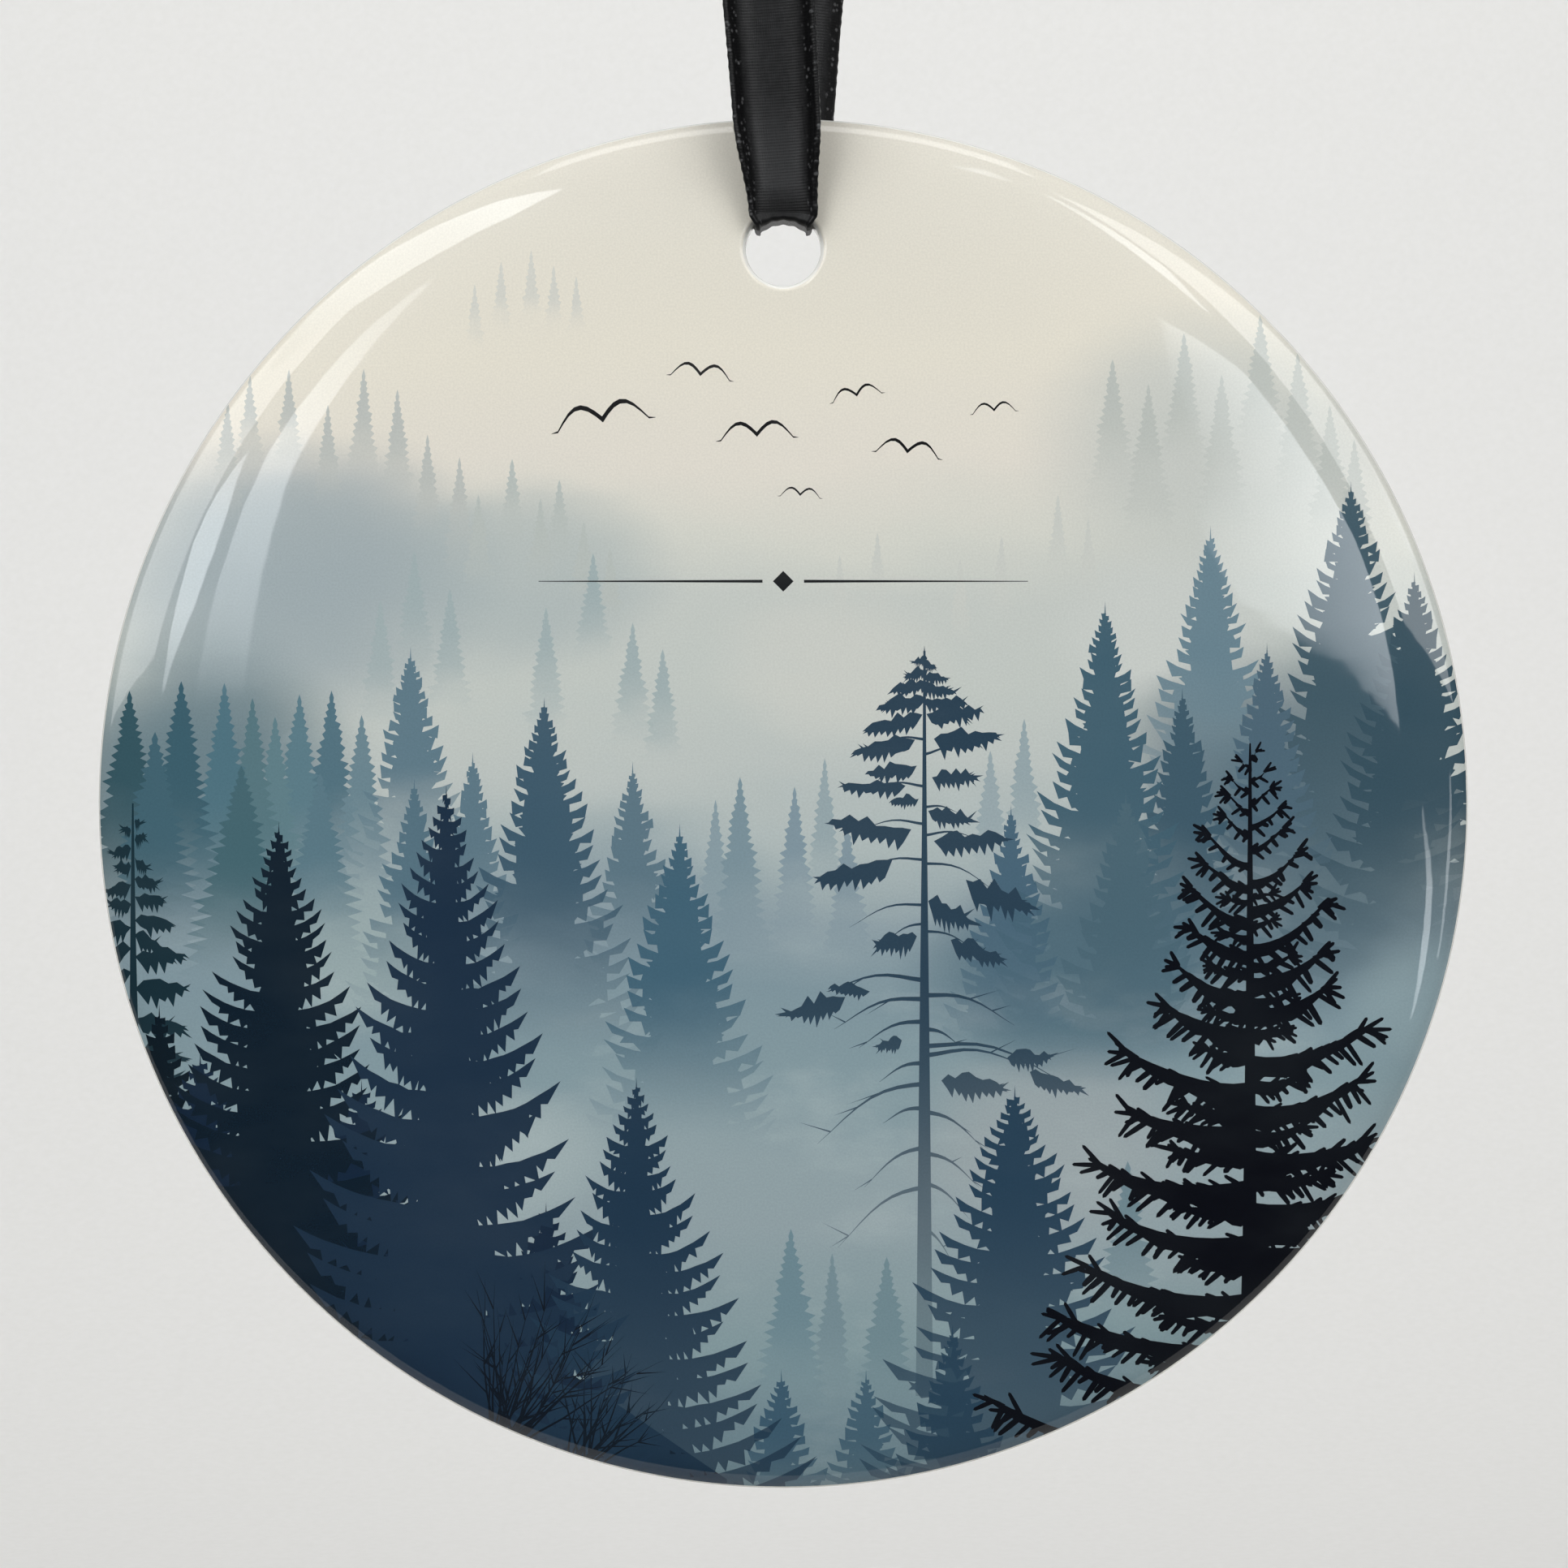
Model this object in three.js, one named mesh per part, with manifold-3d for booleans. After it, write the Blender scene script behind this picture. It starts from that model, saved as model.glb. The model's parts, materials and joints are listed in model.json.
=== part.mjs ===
// A round ceramic hanging ornament on a loop of satin ribbon. Millimetres, +Z up.
// The picture side faces -Y. The origin is the hang point: the inside of the loop, at its top.

import * as THREE from "three";
import { mergeVertices } from "three/addons/utils/BufferGeometryUtils.js";
import Module from "manifold-3d";

// Ceramic disc
const DISC_DIAMETER = 73;
const DISC_THICKNESS = 3.2;
const HOLE_DIAMETER = 4;
const WEB = 5; // ceramic left between the hole and the rim
const FRONT_FLAT_SHARE = 0.6; // share of the radius where the front's soft roll begins
const FRONT_ROLL_POWER = 4; // how late the front's roll falls away
const BACK_ROUND = 1.3; // rounding of the back edge, measured along the radius
const RIM_LAND = 0.2; // straight stretch of the rim between the two roundings
const DISC_SEGMENTS = 72;

// Printed gloss coat on the front
const COAT_THICKNESS = 0.3;
const COAT_GAP = 0.05;
const COAT_REACH_SHARE = 0.985; // share of the radius where the coat ends

// Ribbon
const RIBBON_WIDTH = 6;
const RIBBON_THICKNESS = 0.7; // the cloth with its cupping and pleats
const GATHERED_WIDTH = 3.4; // the ribbon's width round the arc of the hole
const WIDTH_OVER_RIM = 4.7; // its width where it leaves the disc
const CLEARANCE = 0.3;
const HANG_LENGTH = 63; // from the hang point down to the top of the hole
const HANGER_RADIUS = 2.9; // room for the hook or twig
const TWIST_PLANE_HEIGHT = 4.5; // where the strands start to wind, above the disc
const SWING_PIVOT_DEPTH = 9; // below the hang point
const SWING_LIMIT = THREE.MathUtils.degToRad(30);
const CROWN_TURN = THREE.MathUtils.degToRad(-25); // the loop's top is turned this much about Z
const KNOT_SIZE = [7.4, 5.4, 4.6];
const TAIL_WIDTH = 5.2;
const TAIL_LENGTH = 15;

// Centrelines of the two free strands, top to bottom. Each is stretched to end at the twist plane.
const FRONT_RUN = [
  [-1.37, -2.95, -9.2],
  [-1.38, -2.93, -12.4],
  [-1.38, -2.91, -15.6],
  [-1.38, -2.88, -18.8],
  [-1.37, -2.84, -22.0],
  [-1.36, -2.79, -25.2],
  [-1.34, -2.74, -28.4],
  [-1.31, -2.68, -31.6],
  [-1.28, -2.62, -34.8],
  [-1.23, -2.55, -38.0],
  [-1.17, -2.48, -41.2],
  [-1.1, -2.42, -44.2],
  [-1.01, -2.36, -47.2],
  [-0.88, -2.31, -50.4],
  [-0.69, -2.27, -53.2],
];
const BACK_RUN = [
  [1.37, 2.95, -9.2],
  [1.38, 2.93, -12.4],
  [1.38, 2.91, -15.6],
  [1.38, 2.88, -18.8],
  [1.38, 2.84, -22.0],
  [1.37, 2.79, -25.2],
  [1.35, 2.74, -28.4],
  [1.32, 2.68, -31.6],
  [1.28, 2.62, -34.8],
  [1.22, 2.55, -38.0],
  [1.15, 2.48, -41.2],
  [1.07, 2.42, -44.2],
  [0.97, 2.36, -47.2],
  [0.83, 2.31, -50.4],
  [0.65, 2.27, -53.2],
];

const discRadius = DISC_DIAMETER / 2;
const halfThickness = DISC_THICKNESS / 2;
const holeRadius = HOLE_DIAMETER / 2;
const holeTop = -HANG_LENGTH;
const holeCentre = holeTop - holeRadius;
const discTop = holeTop + WEB;
const discCentre = discTop - discRadius;
const twistPlane = discTop + TWIST_PLANE_HEIGHT;
const legDepth = halfThickness + CLEARANCE + RIBBON_THICKNESS / 2;
const crownDepth = HANGER_RADIUS + RIBBON_THICKNESS / 2;

const wasm = await Module();
wasm.setup();

// Turns a closed geometry into a manifold solid.
function toSolid(geometry) {
  const bare = geometry.clone();
  bare.deleteAttribute("normal");
  bare.deleteAttribute("uv");
  const merged = mergeVertices(bare, 1e-5);
  const mesh = new wasm.Mesh({
    numProp: 3,
    vertProperties: new Float32Array(merged.attributes.position.array),
    triVerts: new Uint32Array(merged.index.array),
  });
  return new wasm.Manifold(mesh);
}

// Turns a manifold solid back into a geometry.
function toGeometry(solid) {
  const mesh = solid.getMesh();
  const geometry = new THREE.BufferGeometry();
  geometry.setAttribute("position", new THREE.BufferAttribute(mesh.vertProperties, 3));
  geometry.setIndex(new THREE.BufferAttribute(mesh.triVerts, 1));
  geometry.computeVertexNormals();
  return geometry;
}

function meshOf(name, geometry, material) {
  const mesh = new THREE.Mesh(geometry, material);
  mesh.name = name;
  return mesh;
}

// How far the front's surface has fallen back from its flat middle, at a given radius.
function frontFall(radius) {
  const flatRadius = FRONT_FLAT_SHARE * discRadius;
  const along = Math.max(0, radius - flatRadius) / (discRadius - flatRadius);
  const depth = halfThickness - RIM_LAND / 2;
  return depth * (1 - Math.sqrt(Math.max(0, 1 - along ** FRONT_ROLL_POWER)));
}

// Radii where the rolled front is sampled, closer together towards the rim.
function frontRadii(lastRadius, count) {
  const flatRadius = FRONT_FLAT_SHARE * discRadius;
  const radii = [];
  for (let i = 0; i <= count; i += 1) {
    const along = Math.sin((i / count) * (Math.PI / 2));
    radii.push(flatRadius + along * (lastRadius - flatRadius));
  }
  return radii;
}

// Spins a closed profile of [radius, height] points about the disc's own axis. Height is towards +Y.
function spin(profile) {
  const points = profile.map(([radius, height]) => new THREE.Vector2(radius, height));
  return new THREE.LatheGeometry(points, DISC_SEGMENTS);
}

// The hole's cutter, in the disc's own place and long enough to pass both faces.
function holeCutter() {
  const cutter = new THREE.CylinderGeometry(holeRadius, holeRadius, 3 * DISC_THICKNESS, 40);
  cutter.translate(0, 0, holeCentre - discCentre);
  return toSolid(cutter);
}

// The glazed body: flat back, rounded back edge, short land, then the front's soft roll.
function ceramicDisc() {
  const bodyDrop = COAT_THICKNESS + COAT_GAP;
  const profile = [[0, halfThickness]];
  const backSteps = 4;
  for (let i = 0; i <= backSteps; i += 1) {
    const angle = (i / backSteps) * (Math.PI / 2);
    const radius = discRadius - BACK_ROUND + BACK_ROUND * Math.sin(angle);
    const height = RIM_LAND / 2 + (halfThickness - RIM_LAND / 2) * Math.cos(angle);
    profile.push([radius, height]);
  }
  const coatEnd = COAT_REACH_SHARE * discRadius;
  const bare = -halfThickness + frontFall(coatEnd);
  profile.push([discRadius, -RIM_LAND / 2]);
  profile.push([coatEnd + COAT_GAP, bare]);
  for (const radius of frontRadii(coatEnd, 5).reverse()) {
    profile.push([radius, -halfThickness + bodyDrop + frontFall(radius)]);
  }
  profile.push([0, -halfThickness + bodyDrop]);
  return toGeometry(toSolid(spin(profile.reverse())).subtract(holeCutter()));
}

// The coat: a shell of even thickness that follows the front from the hole to near the rim.
function frontPrintCoat() {
  const coatEnd = COAT_REACH_SHARE * discRadius;
  const outer = frontRadii(coatEnd, 5).map((radius) => [radius, -halfThickness + frontFall(radius)]);
  const inner = outer.map(([radius, height]) => [radius, height + COAT_THICKNESS]).reverse();
  const profile = [[0, -halfThickness], ...outer, ...inner, [0, -halfThickness + COAT_THICKNESS]];
  return toGeometry(toSolid(spin(profile)).subtract(holeCutter()));
}

// Bends a long box along a curve as a strip of ribbon. section(share) gives the strip's width, its turn about
// Z, and its curl: one over the radius that its edges are bent to, away from the inside of the loop.
function ribbonStrip(curve, steps, section) {
  const box = new THREE.BoxGeometry(1, 1, 1, 6, 1, steps);
  const position = box.attributes.position;
  for (let i = 0; i < position.count; i += 1) {
    const share = position.getZ(i) + 0.5;
    const { width, turn, curl } = section(share);
    const tangent = curve.getTangentAt(share);
    const across = new THREE.Vector3(Math.cos(turn), Math.sin(turn), 0);
    across.addScaledVector(tangent, -across.dot(tangent)).normalize();
    const outward = new THREE.Vector3().crossVectors(tangent, across);
    const sideways = position.getX(i) * width;
    const depth = position.getY(i) * RIBBON_THICKNESS;
    const point = curve.getPointAt(share);
    if (curl > 0) {
      const radius = 1 / curl - depth;
      point.addScaledVector(across, radius * Math.sin(sideways * curl));
      point.addScaledVector(outward, 1 / curl - radius * Math.cos(sideways * curl));
    } else {
      point.addScaledVector(across, sideways);
      point.addScaledVector(outward, depth);
    }
    position.setXYZ(i, point.x, point.y, point.z);
  }
  return toGeometry(toSolid(box));
}

// The stretch through the hole: down the front, round the web's two edges, and up the back.
function ribbonBight() {
  const bend = CLEARANCE + RIBBON_THICKNESS / 2;
  const legEnd = twistPlane - CLEARANCE / 2;
  const route = new THREE.CurvePath();
  const at = (x, y, z) => new THREE.Vector3(x, y, z);
  const lean = Math.abs(FRONT_RUN[FRONT_RUN.length - 1][0]);
  const frontTop = at(-lean, -legDepth, legEnd);
  const backTop = at(lean, legDepth, legEnd);
  const frontCorner = at(0, -legDepth, holeTop);
  const backCorner = at(0, legDepth, holeTop);
  const under = holeTop - bend;
  const frontUnder = at(0, -halfThickness, under);
  const backUnder = at(0, halfThickness, under);
  route.add(new THREE.LineCurve3(frontTop, frontCorner));
  route.add(new THREE.QuadraticBezierCurve3(frontCorner, at(0, -legDepth, under), frontUnder));
  route.add(new THREE.LineCurve3(frontUnder, backUnder));
  route.add(new THREE.QuadraticBezierCurve3(backUnder, at(0, legDepth, under), backCorner));
  route.add(new THREE.LineCurve3(backCorner, backTop));
  const holeCurl = 1 / (holeRadius - bend);
  return ribbonStrip(route, 36, (share) => {
    const away = Math.abs(2 * share - 1);
    const open = THREE.MathUtils.smoothstep(away, 0.3, 1);
    return {
      width: THREE.MathUtils.lerp(GATHERED_WIDTH, WIDTH_OVER_RIM, open),
      turn: 0,
      curl: holeCurl * (1 - open),
    };
  });
}

// One free strand between the crown and the twist plane.
function ribbonRun(points, downwards) {
  const top = -SWING_PIVOT_DEPTH;
  const bottom = twistPlane + CLEARANCE / 2;
  const chosenTop = points[0][2];
  const chosenBottom = points[points.length - 1][2];
  const stretch = (bottom - top) / (chosenBottom - chosenTop);
  const route = points.map(([x, y, z]) => new THREE.Vector3(x, y, top + (z - chosenTop) * stretch));
  if (!downwards) {
    route.reverse();
  }
  const openShare = 0.55;
  return ribbonStrip(new THREE.CatmullRomCurve3(route), 28, (share) => {
    const up = downwards ? 1 - share : share;
    const open = THREE.MathUtils.smoothstep(up, 0, openShare);
    return {
      width: THREE.MathUtils.lerp(WIDTH_OVER_RIM, RIBBON_WIDTH, open),
      turn: CROWN_TURN * THREE.MathUtils.smoothstep(up, 0, 1),
      curl: 0,
    };
  });
}

// The arch over the hanger. Its legs stop short of the strands by what the swing needs.
function ribbonCrown() {
  const swingGap = (crownDepth + RIBBON_THICKNESS / 2) * Math.sin(SWING_LIMIT) + CLEARANCE;
  const legEnd = -SWING_PIVOT_DEPTH + swingGap;
  const springing = -HANGER_RADIUS;
  const spun = (y, z) => new THREE.Vector3(0, y, z).applyAxisAngle(new THREE.Vector3(0, 0, 1), CROWN_TURN);
  const route = [spun(crownDepth, legEnd), spun(crownDepth, (legEnd + springing) / 2)];
  const archSteps = 8;
  for (let i = 0; i <= archSteps; i += 1) {
    const angle = (i / archSteps) * Math.PI;
    route.push(spun(crownDepth * Math.cos(angle), springing + crownDepth * Math.sin(angle)));
  }
  route.push(spun(-crownDepth, (legEnd + springing) / 2), spun(-crownDepth, legEnd));
  return ribbonStrip(new THREE.CatmullRomCurve3(route), 28, () => ({
    width: RIBBON_WIDTH,
    turn: CROWN_TURN,
    curl: 0,
  }));
}

const knotBottom = RIBBON_THICKNESS + CLEARANCE;

// The knot's lump, standing on the crown.
function ribbonKnot() {
  const [across, deep, tall] = KNOT_SIZE;
  const lump = new THREE.SphereGeometry(0.5, 16, 10);
  lump.rotateX(Math.PI / 2);
  lump.scale(across, deep, tall);
  lump.rotateZ(CROWN_TURN);
  lump.translate(0, 0, knotBottom + tall / 2);
  return toGeometry(toSolid(lump));
}

// A cut end of ribbon that leaves the knot's top and leans out to one side.
function ribbonTail(side) {
  const start = knotBottom + KNOT_SIZE[2] + CLEARANCE;
  const lean = TAIL_LENGTH * 0.42;
  const rise = TAIL_LENGTH * 0.9;
  const inset = TAIL_WIDTH / 2 + CLEARANCE;
  const route = new THREE.QuadraticBezierCurve3(
    new THREE.Vector3(side * inset, 0, start),
    new THREE.Vector3(side * (inset + lean * 0.3), 0, start + rise * 0.6),
    new THREE.Vector3(side * (inset + lean), 0, start + rise),
  );
  return ribbonStrip(route, 10, () => ({ width: TAIL_WIDTH, turn: 0, curl: 0 }));
}

const glaze = new THREE.MeshStandardMaterial({ color: 0xf4f3ef, roughness: 0.12, metalness: 0 });
const print = new THREE.MeshStandardMaterial({ color: 0x8ea1aa, roughness: 0.1, metalness: 0 });
const satin = () => new THREE.MeshStandardMaterial({ color: 0x1c1c1d, roughness: 0.45, metalness: 0 });

const group = new THREE.Group();

const ornament = new THREE.Group();
ornament.position.z = discCentre;
ornament.add(meshOf("ceramic_disc", ceramicDisc(), glaze));
ornament.add(meshOf("front_print_coat", frontPrintCoat(), print));
group.add(ornament);

const ribbon = new THREE.Group();
ribbon.add(meshOf("ribbon_bight", ribbonBight(), satin()));
ribbon.add(meshOf("ribbon_front_run", ribbonRun(FRONT_RUN, true), satin()));
ribbon.add(meshOf("ribbon_back_run", ribbonRun(BACK_RUN, false), satin()));
ribbon.add(meshOf("ribbon_crown", ribbonCrown(), satin()));
ribbon.add(meshOf("ribbon_knot", ribbonKnot(), satin()));
ribbon.add(meshOf("ribbon_tail_left", ribbonTail(-1), satin()));
ribbon.add(meshOf("ribbon_tail_right", ribbonTail(1), satin()));
group.add(ribbon);

export default group;
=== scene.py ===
"""A printed ceramic ornament on a black satin ribbon: camera, ribbon, disc, picture and studio."""
import json
import math
import random

import bmesh
import bpy
import numpy as np
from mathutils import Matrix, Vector
from mathutils.geometry import delaunay_2d_cdt


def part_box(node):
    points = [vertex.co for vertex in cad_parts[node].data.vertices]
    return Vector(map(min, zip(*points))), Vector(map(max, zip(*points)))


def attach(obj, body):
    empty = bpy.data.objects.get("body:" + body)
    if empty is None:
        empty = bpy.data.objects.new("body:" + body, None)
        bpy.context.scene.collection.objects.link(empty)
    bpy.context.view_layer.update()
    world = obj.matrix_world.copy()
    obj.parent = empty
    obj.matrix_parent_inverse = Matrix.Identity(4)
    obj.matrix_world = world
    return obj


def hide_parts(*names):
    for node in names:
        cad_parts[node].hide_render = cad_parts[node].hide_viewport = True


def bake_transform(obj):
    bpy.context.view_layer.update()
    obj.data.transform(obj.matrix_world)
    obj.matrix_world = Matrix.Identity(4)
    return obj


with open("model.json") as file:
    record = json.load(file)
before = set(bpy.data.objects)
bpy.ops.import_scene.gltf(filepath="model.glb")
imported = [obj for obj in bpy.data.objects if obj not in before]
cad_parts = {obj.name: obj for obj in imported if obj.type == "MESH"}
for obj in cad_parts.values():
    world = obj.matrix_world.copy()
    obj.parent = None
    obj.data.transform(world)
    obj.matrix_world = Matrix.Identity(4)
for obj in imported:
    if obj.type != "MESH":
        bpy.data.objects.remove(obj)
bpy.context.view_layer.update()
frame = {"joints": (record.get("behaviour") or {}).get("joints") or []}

MM = 0.001

# ---------------------------------------------------------------- places, from the frame, in millimetres


def box_of(node):
    """A CAD node's lowest and highest corners."""
    return [np.array(corner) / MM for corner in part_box(node)]


DISC_LOW, DISC_HIGH = box_of("ceramic_disc")
KNOT_LOW, KNOT_HIGH = box_of("ribbon_knot")
KNOT_MIDDLE = (KNOT_LOW + KNOT_HIGH) / 2
JOINTS = {joint["name"]: joint for joint in frame["joints"]}
DISC_RADIUS = (DISC_HIGH[0] - DISC_LOW[0]) / 2
DISC_Z = (DISC_HIGH[2] + DISC_LOW[2]) / 2
FRONT_Y = round(box_of("front_print_coat")[0][1], 4)
BACK_Y = DISC_HIGH[1]
HOLE_Z = JOINTS["disc_rock"]["pos_m"][2] / MM
HOLE_RADIUS = 2.0
HOLE_TOP = HOLE_Z + HOLE_RADIUS
TWIST_PLANE = JOINTS["ribbon_twist"]["pos_m"][2] / MM

# ---------------------------------------------------------------- camera
CAMERA_DISTANCE = 400.0
VIEW_WIDTH = 83.3
VIEW_RAISE = 1.03  # the view's middle above the disc's
VIEW_SHIFT = 0.04
SENSOR = 36.0


def make_camera():
    """Looks straight at the disc's face and takes in the view's width there."""
    data = bpy.data.cameras.new("camera")
    data.sensor_width = SENSOR
    data.lens = SENSOR * (CAMERA_DISTANCE + FRONT_Y) / VIEW_WIDTH
    data.clip_start, data.clip_end = 0.01, 20
    camera = bpy.data.objects.new("camera", data)
    camera.location = Vector((VIEW_SHIFT, -CAMERA_DISTANCE, DISC_Z + VIEW_RAISE)) * MM
    camera.rotation_euler = (math.radians(90), 0, 0)
    bpy.context.collection.objects.link(camera)
    bpy.context.scene.camera = camera


make_camera()

# ---------------------------------------------------------------- small helpers


def linear(colour):
    """A linear RGBA colour from an sRGB hex string."""
    parts = [int(colour[i : i + 2], 16) / 255 for i in (0, 2, 4)]
    return tuple(c / 12.92 if c <= 0.04045 else ((c + 0.055) / 1.055) ** 2.4 for c in parts) + (1.0,)


def smooth(value, low, high):
    """0 below low, 1 above high, and an even curve between them."""
    t = np.clip((np.asarray(value, float) - low) / (high - low), 0, 1)
    return t * t * (3 - 2 * t)


def mix(a, b, share):
    """A value between a and b."""
    return a + (b - a) * share


def unit(ways):
    """The same directions with a length of one."""
    return ways / np.linalg.norm(ways, axis=1)[:, None]


def run_along(line):
    """The way from the start of a line to each of its places."""
    return np.concatenate([[0], np.cumsum(np.linalg.norm(np.diff(line, axis=0), axis=1))])


def place_mesh(name, mesh, material):
    """A smooth object of one material."""
    mesh.shade_smooth()
    mesh.materials.append(material)
    made = bpy.data.objects.new(name, mesh)
    bpy.context.collection.objects.link(made)
    return made


def vertex_of_loops(mesh):
    """The number of the vertex at each face corner."""
    loops = np.empty(len(mesh.loops), int)
    mesh.loops.foreach_get("vertex_index", loops)
    return loops


def add_layout(mesh, name, places):
    """A layer of places on the mesh's surface, one for each face corner."""
    mesh.uv_layers.new(name=name).data.foreach_set("uv", places.ravel())


def new_object(name, verts, faces, material):
    """A mesh object from points in millimetres."""
    mesh = bpy.data.meshes.new(name)
    mesh.from_pydata((np.asarray(verts) * MM).tolist(), [], faces)
    mesh.update()
    return place_mesh(name, mesh, material)


class Nodes:
    """Adds nodes to a material's tree and gives their outputs."""

    def __init__(self, material):
        self.tree = material.node_tree
        self.shader = self.tree.nodes["Principled BSDF"]

    def fill(self, inputs, values):
        """Links each value that is a socket, and sets each that isn't."""
        for key, value in values.items():
            if isinstance(value, bpy.types.NodeSocket):
                self.tree.links.new(value, inputs[key])
            else:
                inputs[key].default_value = value

    def add(self, kind, inputs=None, **settings):
        """Makes a node and gives it back. Inputs are by name or number, and each is a value or a socket."""
        node = self.tree.nodes.new(kind)
        for key, value in settings.items():
            setattr(node, key, value)
        self.fill(node.inputs, inputs or {})
        return node

    def finish(self, inputs):
        """Fills the inputs of the material's own shader."""
        self.fill(self.shader.inputs, inputs)

    def math(self, operation, a, b=0.0):
        return self.add("ShaderNodeMath", {0: a, 1: b}, operation=operation).outputs[0]

    def times(self, a, b):
        return self.math("MULTIPLY", a, b)

    def noise(self, place, scale, detail=2.0, roughness=0.5):
        inputs = {"Vector": place, "Scale": scale, "Detail": detail, "Roughness": roughness}
        return self.add("ShaderNodeTexNoise", inputs).outputs[0]

    def stretched(self, place, scale, location=(0, 0, 0)):
        inputs = {"Vector": place, "Location": location, "Scale": scale}
        return self.add("ShaderNodeMapping", inputs).outputs[0]

    def bump(self, height, strength, distance):
        inputs = {"Strength": strength, "Distance": distance, "Height": height}
        return self.add("ShaderNodeBump", inputs).outputs[0]

    def uv(self, name):
        return self.add("ShaderNodeUVMap", uv_map=name).outputs[0]

    def attribute(self, name, output="Fac"):
        return self.add("ShaderNodeAttribute", attribute_name=name).outputs[output]

    def object_place(self):
        return self.add("ShaderNodeTexCoord").outputs["Object"]

    def axes(self, place):
        return self.add("ShaderNodeSeparateXYZ", {0: place}).outputs

    def cells(self, place, scale, randomness):
        inputs = {"Vector": place, "Scale": scale, "Randomness": randomness}
        return self.add("ShaderNodeTexVoronoi", inputs).outputs["Distance"]

    def blend(self, share, a, b):
        return self.add("ShaderNodeMix", {0: share, 6: a, 7: b}, data_type="RGBA").outputs[2]

    def ramp(self, share, stops):
        node = self.add("ShaderNodeValToRGB", {0: share})
        elements = node.color_ramp.elements
        while len(elements) < len(stops):
            elements.new(1.0)
        for element, (place, colour) in zip(elements, stops):
            element.position = place
            element.color = colour
        return node.outputs[0]

    def ramp_value(self, value, low, high, to_low=0.0, to_high=1.0):
        inputs = {"Value": value, "From Min": low, "From Max": high, "To Min": to_low, "To Max": to_high}
        return self.add("ShaderNodeMapRange", inputs, interpolation_type="SMOOTHSTEP").outputs[0]


def new_material(name):
    """A material and the builder of its nodes."""
    material = bpy.data.materials.new(name)
    material.use_nodes = True
    return material, Nodes(material)


# ---------------------------------------------------------------- satin ribbon

CLOTH_WIDTH = 6.0  # laid flat
CLOTH_HALF = 0.12  # half the cloth's thickness
PICOT_PITCH = 0.55  # spacing of the selvedge's stitches
RIB_PITCH = 0.16  # spacing of the cross rib

# The strands' routes, as in the CAD source
FRONT_RUN = [
    (-1.37, -2.95, -9.2), (-1.38, -2.93, -12.4), (-1.38, -2.91, -15.6), (-1.38, -2.88, -18.8),
    (-1.37, -2.84, -22.0), (-1.36, -2.79, -25.2), (-1.34, -2.74, -28.4), (-1.31, -2.68, -31.6),
    (-1.28, -2.62, -34.8), (-1.23, -2.55, -38.0), (-1.17, -2.48, -41.2), (-1.1, -2.42, -44.2),
    (-1.01, -2.36, -47.2), (-0.88, -2.31, -50.4), (-0.69, -2.27, -53.2),
]
BACK_RUN = [
    (1.37, 2.95, -9.2), (1.38, 2.93, -12.4), (1.38, 2.91, -15.6), (1.38, 2.88, -18.8),
    (1.38, 2.84, -22.0), (1.37, 2.79, -25.2), (1.35, 2.74, -28.4), (1.32, 2.68, -31.6),
    (1.28, 2.62, -34.8), (1.22, 2.55, -38.0), (1.15, 2.48, -41.2), (1.07, 2.42, -44.2),
    (0.97, 2.36, -47.2), (0.83, 2.31, -50.4), (0.65, 2.27, -53.2),
]
CROWN_TURN = math.radians(-25)
CROWN_DEPTH = 3.25  # from the loop's middle to the middle of each strand, at the top
CROWN_SPRING = -2.9  # height where the arch begins
LEG_BEND = 0.65  # radius of the ribbon's bend into the hole
LEG_Y = FRONT_Y - LEG_BEND
CROWN_END = -14.0  # height where the crown's cloth ends and the strands begin
BIGHT_END = -59.5  # height where the gathered stretch begins
HANG_STRAIGHT = -9.0  # height where the crown's turn is complete


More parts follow.
